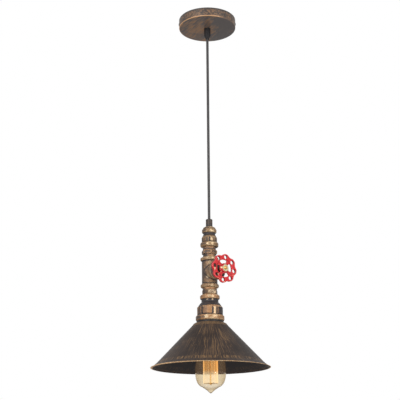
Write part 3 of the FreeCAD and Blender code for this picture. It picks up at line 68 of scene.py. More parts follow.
class Value:
    """A number, vector or colour in a node tree, which can be written into sums."""

    def __init__(self, tree, socket):
        self.tree = tree
        self.socket = socket

    def math(self, operation, *others):
        return self.tree.add("ShaderNodeMath", {"operation": operation}, (self, *others))

    def reflected(self, operation, other):
        return self.tree.add("ShaderNodeMath", {"operation": operation}, (other, self))

    def __add__(self, other):
        return self.math("ADD", other)

    def __radd__(self, other):
        return self.reflected("ADD", other)

    def __sub__(self, other):
        return self.math("SUBTRACT", other)

    def __rsub__(self, other):
        return self.reflected("SUBTRACT", other)

    def __mul__(self, other):
        return self.math("MULTIPLY", other)

    def __rmul__(self, other):
        return self.reflected("MULTIPLY", other)

    def __truediv__(self, other):
        return self.math("DIVIDE", other)

    def __rtruediv__(self, other):
        return self.reflected("DIVIDE", other)

    def most(self, *others):
        """The greatest of this value and others."""
        greatest = self
        for other in others:
            greatest = greatest.math("MAXIMUM", other)
        return greatest

    def between(self, low, high):
        """0 at low and 1 at high, with a smooth step from one to the other."""
        return self.tree.add("ShaderNodeMapRange", {"interpolation_type": "SMOOTHSTEP"}, (self, low, high))

    def siblings(self):
        """All that comes out of this value's node."""
        return [Value(self.tree, socket) for socket in self.socket.node.outputs]

    def axes(self):
        return self.tree.add("ShaderNodeSeparateXYZ", {}, (self,)).siblings()


class Tree:
    """A tree of nodes, all added in one way."""

    def __init__(self, tree):
        self.tree = tree

    def plug(self, what, socket):
        if isinstance(what, Value):
            self.tree.links.new(what.socket, socket)
        else:
            socket.default_value = (*what, 1) if socket.type == "RGBA" and len(what) == 3 else what

    def add(self, kind, settings, inputs, output=0):
        """Adds a node with its settings, then the values or links of its inputs by their number or name."""
        node = self.tree.nodes.new(kind)
        for name, setting in settings.items():
            setattr(node, name, setting)
        for key, what in inputs.items() if isinstance(inputs, dict) else enumerate(inputs):
            self.plug(what, node.inputs[key])
        return Value(self, node.outputs[output]) if node.outputs else None


class Finish(Tree):
    """A material on one Principled shader."""

    def __init__(self, name, color, rough=0.5, metal=0.0, coat=0.0, gloss=0.5):
        self.material = bpy.data.materials.new(name)
        self.material.use_nodes = True
        super().__init__(self.material.node_tree)
        self.shader = self.tree.nodes["Principled BSDF"]
        self.set("Base Color", color).set("Roughness", rough).set("Metallic", metal)
        self.set("Coat Weight", coat).set("Specular IOR Level", gloss)

    def set(self, name, what):
        self.plug(what, self.shader.inputs[name])
        return self

    def place(self):
        return self.add("ShaderNodeTexCoord", {}, (), "Object")

    def vector(self, *parts):
        return self.add("ShaderNodeCombineXYZ", {}, parts)

    def noise(self, where, scale, detail=3.0, rough=0.5):
        return self.add(
            "ShaderNodeTexNoise", {}, {"Vector": where, "Scale": scale, "Detail": detail, "Roughness": rough}
        )

    def mix(self, share, first, second):
        return self.add("ShaderNodeMix", {"data_type": "RGBA"}, {0: share, 6: first, 7: second}, 2)

    def bump(self, height, strength, distance):
        wanted = {"Height": height, "Strength": strength, "Distance": distance}
        return self.set("Normal", self.add("ShaderNodeBump", {}, wanted))


MILLIMETRES = 1000.0


def grained(name, color, shade, grain, rough=0.5, metal=0.0, coat=0.0, gloss=0.5, depth=0.00005, stretch=(1, 1, 1)):
    """A finish that drifts to another shade in specks of one size in millimetres, drawn out along the stretch."""
    finish = Finish(name, color, rough, metal, coat, gloss)
    scale = [MILLIMETRES / grain / length for length in stretch]
    where = finish.add("ShaderNodeMapping", {}, {"Vector": finish.place(), "Scale": scale})
    specks = finish.noise(where, 1.0)
    finish.set("Base Color", finish.mix(specks.between(0.35, 0.7), color, shade))
    finish.set("Roughness", specks * 0.16 + (rough - 0.08))
    return finish.bump(specks, 0.4, depth)


def paint(finish, *pieces):
    for piece in pieces:
        piece.data.materials.clear()
        piece.data.materials.append(finish.material)


CORD_TOP = -0.0468
CORD_FOOT = -0.4778
CORD_END = 0.035
CORD_RADIUS = 0.0029
CORD_ROUTE = [(0, 0, CORD_TOP), (0, 0, CORD_TOP - CORD_END), (0, 0, CORD_FOOT + CORD_END), (0, 0, CORD_FOOT)]

cord_curve = bpy.data.curves.new("cord", "CURVE")
cord_curve.dimensions = "3D"
route = cord_curve.splines.new("NURBS")
route.points.add(len(CORD_ROUTE) - 1)
for point, place in zip(route.points, CORD_ROUTE):
    point.co = (*place, 1)
    point.radius = CORD_RADIUS
route.order_u = 3
route.use_endpoint_u = True
cord_curve.bevel_depth = 1
cord_curve.bevel_resolution = 8
cord_curve.use_fill_caps = True
cord = bpy.data.objects.new("cord", cord_curve)
scene.collection.objects.link(cord)
cord_sheath = grained(
    "cord_sheath", (0.04, 0.037, 0.037), (0.027, 0.025, 0.025), grain=2.5, gloss=0.35, depth=0.00001, stretch=(1, 1, 4)
)
paint(cord_sheath, cord, nodes["cord_upper_end"], nodes["cord_lower_end"])
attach(cord, "cord")
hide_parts("suspension_cord")


# Ceiling bracket
# A zinc-plated steel strap with slots for the ceiling's screws. Two blackened screws hold the canopy to its turned-down
# ends, and the brass earth screw clamps the earth lead's tag.

zinc_steel = grained("zinc_steel", (0.55, 0.56, 0.57), (0.4, 0.41, 0.42), grain=1.5, rough=0.35, metal=1.0)
blackened_steel = grained(
    "blackened_steel", (0.06, 0.056, 0.052), (0.03, 0.03, 0.03), grain=1.5, rough=0.4, metal=0.8, gloss=0.3
)
brass = grained("brass", (0.72, 0.5, 0.2), (0.55, 0.36, 0.13), grain=2.0, rough=0.3, metal=1.0)
paint(zinc_steel, nodes["ceiling_bracket"])
paint(blackened_steel, nodes["canopy_screws"])
paint(brass, nodes["earth_screw"], nodes["earth_tag"])


# Terminal block and leads
# The block is white moulded plastic with plated screws, and one more screw fixes it to the bracket. The cord's three
# cores, live, neutral and earth, have soft plastic insulation and run from the sheath's two ends to their terminals.

white_plastic = grained("white_plastic", (0.78, 0.78, 0.75), (0.7, 0.69, 0.65), grain=0.8)
paint(white_plastic, nodes["terminal_block"])
paint(zinc_steel, nodes["terminal_screws"], nodes["terminal_fixing_screw"])
INSULATION = {
    "live": ("brown_insulation", (0.16, 0.06, 0.03), (0.12, 0.045, 0.02)),
    "neutral": ("blue_insulation", (0.03, 0.12, 0.5), (0.02, 0.09, 0.4)),
    "earth": ("green_insulation", (0.22, 0.45, 0.04), (0.17, 0.36, 0.03)),
}
for core, (name, color, shade) in INSULATION.items():
    insulation = grained(name, color, shade, grain=1.2, rough=0.45)
    paint(insulation, nodes[f"ceiling_{core}_lead"], nodes[f"holder_{core}_lead"])


# Canopy
# A spun steel cup, painted dark brown, with copper paint dabbed over its wall and dragged slanting across its flat
# underside. The two side screws pull it up over the bracket.


def sampled(outline, steps=8):
    """An outline's points, with each arc divided. A third number makes the run to the next point an arc."""
    points = []
    for start, stop in zip(outline, outline[1:] + outline[:1]):
        here, there = Vector(start[:2]), Vector(stop[:2])
        points.append(here)
        if len(start) == 3:
            run = there - here
            side = Vector((-run.y, run.x)).normalized()
            for step in range(1, steps):
                share = step / steps
                points.append(here + run * share + side * start[2] * 4 * share * (1 - share))
    return points


def closed_mesh(mesh, name):
    """The smooth mesh of a finished bmesh, with its faces turned outwards."""
    bmesh.ops.recalc_face_normals(mesh, faces=mesh.faces)
    made = bpy.data.meshes.new(name)
    mesh.to_mesh(made)
    mesh.free()
    made.shade_smooth()
    return made


CREASE = math.radians(35)


def lathe(name, outline, level=0.0, turns=256):
    """A mesh turned about the lamp's axis from a closed outline in millimetres, below a level in metres."""
    mesh = bmesh.new()
    rings = []
    for point in sampled(outline):
        ring = []
        for turn in range(turns):
            angle = 2 * math.pi * turn / turns
            x, y = point.x * math.cos(angle), point.x * math.sin(angle)
            ring.append(mesh.verts.new((x / MILLIMETRES, y / MILLIMETRES, point.y / MILLIMETRES + level)))
        rings.append(ring)
    for upper, lower in zip(rings, rings[1:] + rings[:1]):
        for turn in range(turns):
            after = (turn + 1) % turns
            mesh.faces.new((upper[turn], lower[turn], lower[after], upper[after]))
    made = closed_mesh(mesh, name)
    made.set_sharp_from_angle(angle=CREASE)
    return made


def keep(name, mesh, body, slot, finish, *stands_for):
    """Puts a mesh in the scene as a piece of the lamp."""
    piece = bpy.data.objects.new(name, mesh)
    scene.collection.objects.link(piece)
    paint(finish, piece)
    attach(piece, body)
    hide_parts(*stands_for)


def from_axis(place):
    """How far a point is from the lamp's axis."""
    x, y = place[:2]
    return (x * x + y * y).math("SQRT")


CANOPY_HOLE = 5.1
CANOPY_RADIUS = 65.0
CANOPY_DEPTH = 20.6
CANOPY_WALL = 1.0
CANOPY_CORNER = 1.8
CANOPY_GREY = (0.094, 0.079, 0.075)
CANOPY_BROWN = (0.03, 0.023, 0.02)
CANOPY_COPPER = (0.35, 0.19, 0.095)
BARE_COPPER_AND_HIGHLIGHT = (0.66, 0.37, 0.18)
WALL_FOOT = (-0.0202, -0.019)
WALL_TOP = (-0.001, -0.006)
CORNER_RADII = (0.0634, 0.0642)
CORNER_LEVELS = (-0.0184, -0.0196)


def canopy_bronze():
    """Strokes slanting across the flat, soft mottles on the wall, and a line of bare copper along the corner, with a
    painted highlight on it towards the left.
    """
    finish = Finish("aged_bronze_canopy", (0.05, 0.04, 0.036))
    where = finish.place()
    x, y, z = where.axes()
    radius = from_axis((x, y, z))
    along = finish.vector((x * 0.84 + y * 0.54) * 400.0, (y * 0.84 - x * 0.54) * 36.0, 0.0)
    strokes = finish.noise(along, 1.0, 4.0, 0.6)
    mottles = finish.noise(where, 240.0, 4.0, 0.6)
    clouds = finish.noise(where, 30.0, 2.0)
    wall = z.between(*WALL_FOOT)
    # The corner line is faint all round and strong towards the left, where it is a painted highlight.
    corner = radius.between(*CORNER_RADII) * z.between(*CORNER_LEVELS) * (x.between(0.045, 0.02) * 0.75 + 0.15)
    plain = x.between(0.005, 0.045) * 0.22
    flat = (strokes + (clouds - 0.5) * 0.45 - plain).between(0.41, 0.6) * (1 - wall)
    side = (mottles + (clouds - 0.5) * 0.3).between(0.38, 0.66) * wall * z.between(*WALL_TOP)
    copper_share = (flat * 0.85 + side * 0.52).most(corner)
    base = finish.mix(wall, CANOPY_GREY, CANOPY_BROWN)
    copper = finish.mix(corner, CANOPY_COPPER, BARE_COPPER_AND_HIGHLIGHT)
    finish.set("Base Color", finish.mix(copper_share, base, copper))
    finish.set("Metallic", copper_share * 0.3)
    finish.set("Roughness", wall * 0.3 + 0.23)
    return finish.bump(strokes * (1 - wall) + mottles * wall, 0.15, 0.0002)


canopy_inside = CANOPY_RADIUS - CANOPY_WALL
canopy_flat = CANOPY_RADIUS - CANOPY_CORNER
canopy_turn = CANOPY_CORNER - CANOPY_DEPTH
canopy = [
    (CANOPY_HOLE, CANOPY_WALL - CANOPY_DEPTH), (CANOPY_HOLE, -CANOPY_DEPTH), (canopy_flat, -CANOPY_DEPTH, -0.53),
    (CANOPY_RADIUS, canopy_turn), (CANOPY_RADIUS, 0.0), (canopy_inside, 0.0), (canopy_inside, canopy_turn, 0.23),
    (canopy_flat, CANOPY_WALL - CANOPY_DEPTH)
]
keep("canopy", lathe("canopy", canopy), "ceiling", "aged_bronze_paint", canopy_bronze(), "canopy_cover")


# Cord grip
# Black moulded nylon. Its stem goes up through the canopy into a locknut, and its cap nut squeezes a rubber seal
# onto the cord.

black_plastic = grained(
    "black_plastic", (0.019, 0.017, 0.018), (0.012, 0.011, 0.011), grain=0.7, gloss=0.2, depth=0.00002
)
black_rubber = grained("black_rubber", (0.02, 0.02, 0.02), (0.012, 0.012, 0.012), grain=0.6, rough=0.75, gloss=0.2)
paint(black_plastic, nodes["cord_grip_body"], nodes["cord_grip_cap"], nodes["cord_grip_locknut"])
paint(black_rubber, nodes["cord_grip_seal"])


# Top nipple
# A short pipe of dark iron, rubbed brown in places. A plastic bush guides the cord into it, and a side screw locks
# the cord.

dark_iron = grained(
    "dark_iron", (0.026, 0.024, 0.024), (0.085, 0.055, 0.036), grain=4.0, metal=0.2, gloss=0.3, stretch=(1, 1, 2)
)
paint(dark_iron, nodes["top_nipple"])
paint(black_plastic, nodes["cord_bush"])
paint(blackened_steel, nodes["cord_lock_screw"])


# Fittings
# Sand-cast malleable iron under thick dark paint, so every edge is soft. Copper and gold paint is brushed over what
# stands out. They screw into each other on the nipples, and the gland nut holds the spindle in the tee's outlet.
# Their paint also carries painted highlights and painted shade, set by which way each part of a fitting faces.


def open_nodes(name, inputs):
    """Opens a Geometry Nodes tree with named inputs, and gives back the tree and what comes in through each."""
    group = bpy.data.node_groups.new(name, "GeometryNodeTree")
    for label, kind in {"Geometry": "Geometry", **inputs, "Material": "Material"}.items():
        group.interface.new_socket(label, in_out="INPUT", socket_type="NodeSocket" + kind)
    group.interface.new_socket("Geometry", in_out="OUTPUT", socket_type="NodeSocketGeometry")
    tree = Tree(group)
    return tree, tree.add("NodeGroupInput", {}, ()).siblings()[:len(inputs) + 2]


def close_nodes(tree, shape, finish):
    real = tree.add("GeometryNodeRealizeInstances", {}, (shape,))
    dressed = tree.add("GeometryNodeSetMaterial", {}, {"Geometry": real, "Material": finish})
    tree.add("NodeGroupOutput", {}, (dressed,))
    return tree.tree


def apply_nodes(work, group, inputs):
    """Adds a tree to a work object, with its inputs by their names."""
    modifier = work.modifiers.new(group.name, "NODES")
    modifier.node_group = group
    for item in group.interface.items_tree:
        if item.in_out == "INPUT" and item.name in inputs:
            modifier[item.identifier] = inputs[item.name]


def worked_out(work, name):
    """The plain mesh that a work object's modifiers make. The object goes."""
    made = bpy.data.meshes.new_from_object(work.evaluated_get(bpy.context.evaluated_depsgraph_get()))
    made.name = name
    old = work.data
    bpy.data.objects.remove(work)
    bpy.data.meshes.remove(old)
    return made


def relief_nodes():
    """Stores how far each point stands above its surroundings, near and far, for the paint to follow."""
    tree, (geometry, near, far, finish) = open_nodes("relief", {"Near": "Int", "Far": "Int"})
    place = tree.add("GeometryNodeInputPosition", {}, ())
    normal = tree.add("GeometryNodeInputNormal", {}, ())
    for name, rounds in (("near", near), ("far", far)):
        smooth = tree.add("GeometryNodeBlurAttribute", {"data_type": "FLOAT_VECTOR"}, (place, rounds))
        away = tree.add("ShaderNodeVectorMath", {"operation": "SUBTRACT"}, (place, smooth))
        height = tree.add("ShaderNodeVectorMath", {"operation": "DOT_PRODUCT"}, (away, normal), 1) * MILLIMETRES
        geometry = tree.add("GeometryNodeStoreNamedAttribute", {}, {0: geometry, 2: name, 3: height})
    return close_nodes(tree, geometry, finish)


RELIEF = relief_nodes()
RELIEF_ROUNDS = {"Near": 6, "Far": 60}
SAME_POINT = 1e-6


def cast(node, finish, grain=0.00052, soften=3, turn=0.0):
    """A copy of a CAD piece with the soft edges of a casting, turned some degrees about the lamp's axis."""
    work = bpy.data.objects.new("work", nodes[node].data.copy())
    scene.collection.objects.link(work)
    mesh = bmesh.new()
    mesh.from_mesh(work.data)
    bmesh.ops.remove_doubles(mesh, verts=mesh.verts, dist=SAME_POINT)
    bmesh.ops.rotate(mesh, verts=mesh.verts, cent=(0, 0, 0), matrix=Matrix.Rotation(math.radians(turn), 3, "Z"))
    mesh.to_mesh(work.data)
    mesh.free()
    remesh = work.modifiers.new("remesh", "REMESH")
    remesh.mode = "VOXEL"
    remesh.voxel_size = grain
    smooth = work.modifiers.new("smooth", "SMOOTH")
    smooth.factor = 0.5
    smooth.iterations = soften
    apply_nodes(work, RELIEF, {**RELIEF_ROUNDS, "Material": finish.material})
    made = worked_out(work, node + "_cast")
    made.shade_smooth()
    return made


def relief(finish):
    """How far a point of a casting stands above its surroundings."""
    near, far = [finish.add("ShaderNodeAttribute", {"attribute_name": name}, (), "Fac") for name in ("near", "far")]
    return far + near * 2.0


def outward(place, turn):
    """How far out a point is on one side of the lamp, which is turned from the front by an angle."""
    x, y = place[:2]
    return x * math.sin(turn) - y * math.cos(turn)


def sideways(place, turn):
    """How far a point is from the middle of that side, towards its right."""
    x, y = place[:2]
    return x * math.cos(turn) + y * math.sin(turn)


def level_band(z, top, foot, soft=0.0006):
    return z.between(foot - soft, foot + soft) * z.between(top + soft, top - soft)


# The turn from the front, and the turn opposite, at which the fittings get a painted highlight.
LIT_SIDE = math.radians(20)
DARK_BROWN = (0.083, 0.058, 0.044)
GOLD = (0.52, 0.39, 0.235)
# The dark of the hollows, which also serves as painted shade at the sides, in the necks and behind the wheel.
HOLLOW_AND_SHADE_DARK = (0.034, 0.029, 0.03)
COPPER = (0.34, 0.18, 0.085)
WARM_COPPER = (0.3, 0.165, 0.082)
DULL_COPPER = (0.265, 0.158, 0.085)
OLIVE = (0.23, 0.14, 0.072)


class Bronze(Finish):
    """Dark in the hollows, brown and copper over the rest, and gold where the brush caught what stands out, with a
    painted highlight on one side and painted shade at the sides.
    """

    def __init__(self, name, copper, relief_share=1.0):
        super().__init__(name, (0.1, 0.07, 0.05), gloss=0.2)
        self.copper = copper
        self.where = self.place()
        self.axes = x, y, z = self.where.axes()
        strokes = self.noise(self.vector((x + z * 0.7) * 150.0, y * 50.0, (z - x * 0.7) * 45.0), 1.0)
        clouds = self.noise(self.where, 55.0, 2.0)
        blotches = self.noise(self.where, 190.0, 2.0)
        # Painted highlight and painted shade: lighter facing 20 degrees right of the front and opposite, darker at the
        # sides between.
        facing = outward(self.axes, LIT_SIDE) / from_axis(self.axes)
        height = relief(self) * relief_share + (facing * facing - 0.6) * 0.7
        patchy = (strokes - 0.5) * 1.6 + (clouds - 0.5) * 1.6
        self.copper_share = (height + patchy).between(-0.2, 0.6)
        self.bright = (height + patchy * 0.6 + (blotches - 0.5) * 3.0).between(0.6, 1.5)
        self.hollow_and_shade = (height + (clouds - 0.5) * 0.8).between(-0.1, -0.6)
        self.skin = blotches + strokes * 0.5

    def daubs_and_glints(self, spots):
        """Ragged spots of paint, with painted highlights among them, each by its turn in degrees, its level and its
        half width and half height.
        """
        ragged = (self.noise(self.where, 420.0, 2.0) - 0.5) * 3.2
        shares = []
        for turn, level, wide, high in spots:
            angle = math.radians(turn)
            across = sideways(self.axes, angle) / wide
            up = (self.axes[2] - level) / high
            near_side = outward(self.axes, angle).between(0.0, 0.002)
            shares.append((across * across + up * up + ragged).between(1.5, 0.5) * near_side)
        return shares[0].most(*shares[1:])

    def cover(self):
        """Puts on the paint, after a fitting has had its own marks."""
        color = self.mix(self.copper_share, DARK_BROWN, self.copper)
        color = self.mix(self.bright, color, GOLD)
        self.set("Base Color", self.mix(self.hollow_and_shade, color, HOLLOW_AND_SHADE_DARK))
        self.set("Metallic", (self.bright * 0.2 + self.copper_share * 0.15) * (1 - self.hollow_and_shade))
        self.set("Roughness", 0.48 - self.bright * 0.12)
        return self.bump(self.skin, 0.45, 0.0004)


OUTLET_TURN = math.radians(34)
OUTLET_EDGE = (0.0262, 0.0276)
OUTLET_FACE = (0.0294, 0.0308)
OUTLET_SHADOW = 0.9
# Spots within about 25 degrees of the front are painted highlights as well as paint; the others are spots of paint.
TEE_SPOTS = [
    (-13, -0.6065, 0.0045, 0.0032), (2, -0.5765, 0.0035, 0.0045),
    (150, -0.61, 0.005, 0.004), (230, -0.58, 0.004, 0.005)
]


def tee_bronze():
    """Pale spots beside the outlet, a painted highlight on its edge, and painted shade on its end behind the wheel."""
    finish = Bronze("aged_bronze_tee", DULL_COPPER, 1.1)
    out = outward(finish.axes, OUTLET_TURN)
    face = out.between(*OUTLET_FACE)
    edge = out.between(*OUTLET_EDGE) * (1 - face)
    finish.bright = finish.bright.most(finish.daubs_and_glints(TEE_SPOTS) * 0.5, edge * 0.6)
    finish.hollow_and_shade = finish.hollow_and_shade.most(face * OUTLET_SHADOW)
    return finish.cover()


def outlet_bronze():
    """The bush and the gland nut get the same painted shade where they face the wheel."""
    finish = Bronze("aged_bronze_outlet", WARM_COPPER, 0.35)
    finish.hollow_and_shade = finish.hollow_and_shade.most(outward(finish.axes, OUTLET_TURN).between(*OUTLET_FACE) * OUTLET_SHADOW)
    return finish.cover()


HEXAGON_LEVELS = (-0.6343, -0.6427)
HEXAGON_FLAT = (0.0144, 0.01485)
LIT_FLATS = (20, 140, 260)


def hexagon_bronze():
    """Every second flat of the lower hexagon gets a pale painted highlight, and the others are left dark."""
    finish = Bronze("aged_bronze_hexagon", COPPER)
    specks = finish.noise(finish.where, 380.0, 2.0)
    band = level_band(finish.axes[2], *HEXAGON_LEVELS, 0.0003)
    flats = [outward(finish.axes, math.radians(turn)).between(*HEXAGON_FLAT) for turn in LIT_FLATS]
    pale = flats[0].most(*flats[1:])
    finish.copper_share = finish.copper_share * (1 - band * (0.85 - pale * 0.1))
    finish.bright = (finish.bright * 0.5).most(pale * band * (specks * 3.0 - 1.0))
    return finish.cover()


RIB_HALF = 0.0036
UPPER_FACE = 0.0166
UPPER_RIBS = (-0.5205, -0.5302)
UPPER_NECK = (-0.5105, -0.516)
# Here too the spots within about 25 degrees of the front are painted highlights as well as paint.
UPPER_SPOTS = [
    (12, -0.5055, 0.003, 0.0025), (16, -0.5245, 0.0027, 0.0036), (-12, -0.535, 0.0025, 0.002),
    (17, -0.5345, 0.003, 0.002), (200, -0.525, 0.004, 0.005), (110, -0.535, 0.004, 0.003),
    (255, -0.505, 0.004, 0.003)
]
LOWER_FACE = 0.0272
LOWER_RIBS = (-0.6718, -0.6879)
LOWER_NECK = (-0.6535, -0.6685)
# The rib whose flat face gets a painted highlight.
LOWER_LIT_RIB = math.radians(23.5)
# Here too the spots within about 25 degrees of the front are painted highlights as well as paint.
LOWER_SPOTS = [
    (22, -0.692, 0.0052, 0.0034), (-15, -0.6935, 0.0048, 0.0036), (6, -0.6962, 0.004, 0.0015),
    (2, -0.6485, 0.006, 0.002), (14, -0.6495, 0.003, 0.003), (-20, -0.6545, 0.003, 0.0018),
    (17, -0.655, 0.0028, 0.0018), (150, -0.693, 0.006, 0.004), (215, -0.649, 0.004, 0.003),
    (-100, -0.694, 0.005, 0.003)
]


def socket_bronze(name, copper, face, ribs, neck, spots, rubbed, lit_rib=None):
    """A socket's ribs and pads stand to one radius between two levels, and its neck is darker."""
    finish = Bronze(name, copper)
    z = finish.axes[2]
    blotches = finish.noise(finish.where, 240.0, 2.0)
    proud = from_axis(finish.axes).between(face - 0.0008, face - 0.0001)
    zone = level_band(z, *ribs)
    neck_band = level_band(z, *neck, 0.0012)
    painted = finish.daubs_and_glints(spots)
    sunk = zone * (1 - proud) * 0.7
    dark_neck = neck_band * (1.3 - blotches * 0.6) * (1 - painted)
    finish.copper_share = (finish.copper_share * (1 - zone * (0.2 - rubbed))).most(zone * proud * (blotches * 1.2 + rubbed))
    finish.bright = (finish.bright * (1 - zone * 0.6)).most(painted * 0.7)
    finish.hollow_and_shade = finish.hollow_and_shade.most(sunk, dark_neck)
    # The rib at this turn gets a painted highlight down its middle, with darker bands on each side of it.
    if lit_rib is not None:
        across = sideways(finish.axes, lit_rib) / RIB_HALF
        finish.bright = finish.bright.most((across * across).between(1.1, 0.8) * zone * proud * 0.6)
        right = across.between(1.6, 2.4) * zone * (1.5 - blotches)
        left = across.between(-4.2, -5.6) * zone * (1.0 - blotches)
        finish.hollow_and_shade = finish.hollow_and_shade.most(right, left)
    return finish.cover()


OUTLET_BRONZE = outlet_bronze()
FITTINGS = {
    "upper_reducing_socket": socket_bronze(
        "aged_bronze_upper", OLIVE, UPPER_FACE, UPPER_RIBS, UPPER_NECK, UPPER_SPOTS, rubbed=-0.25
    ),
    "upper_hexagon_nipple": Bronze("aged_bronze_nipple", WARM_COPPER, 0.6).cover(),
    "tee": tee_bronze(),
    "outlet_bush": OUTLET_BRONZE,
    "gland_nut": OUTLET_BRONZE,
    "lower_hexagon_nipple": hexagon_bronze(),
    "lower_reducing_socket": socket_bronze(
        "aged_bronze_lower", COPPER, LOWER_FACE, LOWER_RIBS, LOWER_NECK, LOWER_SPOTS, rubbed=0.2, lit_rib=LOWER_LIT_RIB
    ),
}
TURNED = {"lower_reducing_socket": -6.5}
for node, bronze in FITTINGS.items():
    casting = cast(node, bronze, turn=TURNED.get(node, 0.0))
    keep(node + "_cast", casting, "lamp", "aged_bronze_iron", bronze, node)


# Handwheel
# Cast iron dipped in thick red paint that rounds every edge, with a few bare chips. A brass washer and an
# orange-brass screw hold it on the brass spindle, which runs in through the gland nut.

WHEEL_LEVEL = -0.596
WHEEL_FRONT = (0.05, 0.052)
# Each chip's place across the wheel and above its middle, then its half width and half height; they also stand for
# painted glints on the holes' inner walls.
WHEEL_CHIPS_AND_GLINTS = [
    ((-0.025, -0.0025), (0.0012, 0.0034)), ((-0.0168, -0.0139), (0.0026, 0.0011)), ((-0.0085, 0.0005), (0.0012, 0.002)),
    ((-0.0015, -0.0278), (0.0012, 0.001)), ((0.021, -0.0125), (0.0008, 0.0008))
]
DARK_RED = (0.17, 0.007, 0.008)
RED = (0.5, 0.016, 0.021)
PALE_RED = (0.62, 0.07, 0.075)
BARE_METAL_AND_GLINT = (0.7, 0.57, 0.33)


def red_paint():
    """Darker in the hollows as painted shade and paler on the edges as a painted highlight, with chips of unpainted
    metal that are painted glints as well.
    """
    finish = Finish("red_paint", (0.6, 0.02, 0.02), rough=0.36, gloss=0.35)
    where = finish.place()
    place = where.axes()
    spots = finish.noise(where, 300.0)
    flecks = finish.noise(where, 210.0, 1.0)
    height = relief(finish)
    edge = height + (spots - 0.5) * 0.5
    color = finish.mix(edge.between(-0.45, 0.15), DARK_RED, RED)
    color = finish.mix(edge.between(0.5, 1.1), color, PALE_RED)
    front = outward(place, OUTLET_TURN).between(*WHEEL_FRONT)
    chips_and_glints = [(height + (flecks - 0.5) * 3.0).between(1.3, 1.45)]
    for (middle, level), (wide, high) in WHEEL_CHIPS_AND_GLINTS:
        across = (sideways(place, OUTLET_TURN) - middle) / wide
        up = (place[2] - WHEEL_LEVEL - level) / high
        chips_and_glints.append((across * across + up * up + (spots - 0.5) * 3.0).between(1.4, 0.9) * front)
    finish.set("Base Color", finish.mix(chips_and_glints[0].most(*chips_and_glints[1:]), color, BARE_METAL_AND_GLINT))
    return finish.bump(spots, 0.15, 0.0002)


RED_PAINT = red_paint()
wheel = cast("handwheel", RED_PAINT, grain=0.00038, soften=4)
keep("handwheel_cast", wheel, "handwheel", "red_paint", RED_PAINT, "handwheel")
pale_brass = grained(
    "pale_brass", (0.56, 0.5, 0.3), (0.32, 0.26, 0.13), grain=1.6, rough=0.42, metal=0.4, depth=0.0001
)
orange_brass = grained(
    "orange_brass", (0.66, 0.33, 0.08), (0.5, 0.2, 0.05), grain=1.6, rough=0.3, metal=0.7, depth=0.0001
)
paint(pale_brass, nodes["wheel_washer"])
paint(orange_brass, nodes["wheel_screw"])
paint(brass, nodes["valve_spindle"])


# Lampholder
# A black phenolic shell on a threaded steel tube, which a plate and a locknut hang in the lower socket. Inside are a
# ceramic insert, a brass screw shell and the terminals. The shade ring screws up round it against the shade.

phenolic = grained("black_phenolic", (0.02, 0.018, 0.016), (0.035, 0.026, 0.02), grain=2.5, rough=0.3, coat=0.3)
ceramic = grained("white_ceramic", (0.82, 0.8, 0.75), (0.7, 0.66, 0.58), grain=3.0)
paint(zinc_steel, nodes["holder_plate"], nodes["holder_tube"], nodes["holder_locknut"], nodes["holder_terminal_screws"])
paint(brass, nodes["plate_earth_screw"], nodes["screw_shell"], nodes["centre_contact"], nodes["holder_terminals"])
paint(phenolic, nodes["lampholder_cap"], nodes["lampholder_skirt"], nodes["shade_ring"])
paint(ceramic, nodes["lampholder_insert"])


# Shade
# A spun steel cone with a soft shoulder, a flared lip and an edge rolled round a wire. It hangs under a dark collar,
# and copper paint is dragged down it in thin broken strokes, with a row of dashes above the bright rim.

SHADE_TOP = -0.7036
SHADE_HOLE = 20.2
SHADE_SHOULDER = 37.4
SHADE_LIP = 111.5
SHADE_RIM = 121.3
SHADE_SLOPE = 1.05
SHADE_BROWN = (0.031, 0.0235, 0.0208)
SHADE_PALE_BROWN = (0.044, 0.0325, 0.0285)
SHADE_INSIDE = (0.03, 0.026, 0.026)
SHADE_COPPER = (0.25, 0.15, 0.074)
RIM_COPPER = (0.52, 0.28, 0.13)
RIM_GOLD = (0.8, 0.58, 0.34)
SHOULDER_RADII = (0.0398, 0.0378)
STROKES_FADE = (0.135, 0.08)
DASHES_START = (0.107, 0.1095)
DASHES_END = (0.1155, 0.1135)
RIM_RADII = (0.1214, 0.1223)


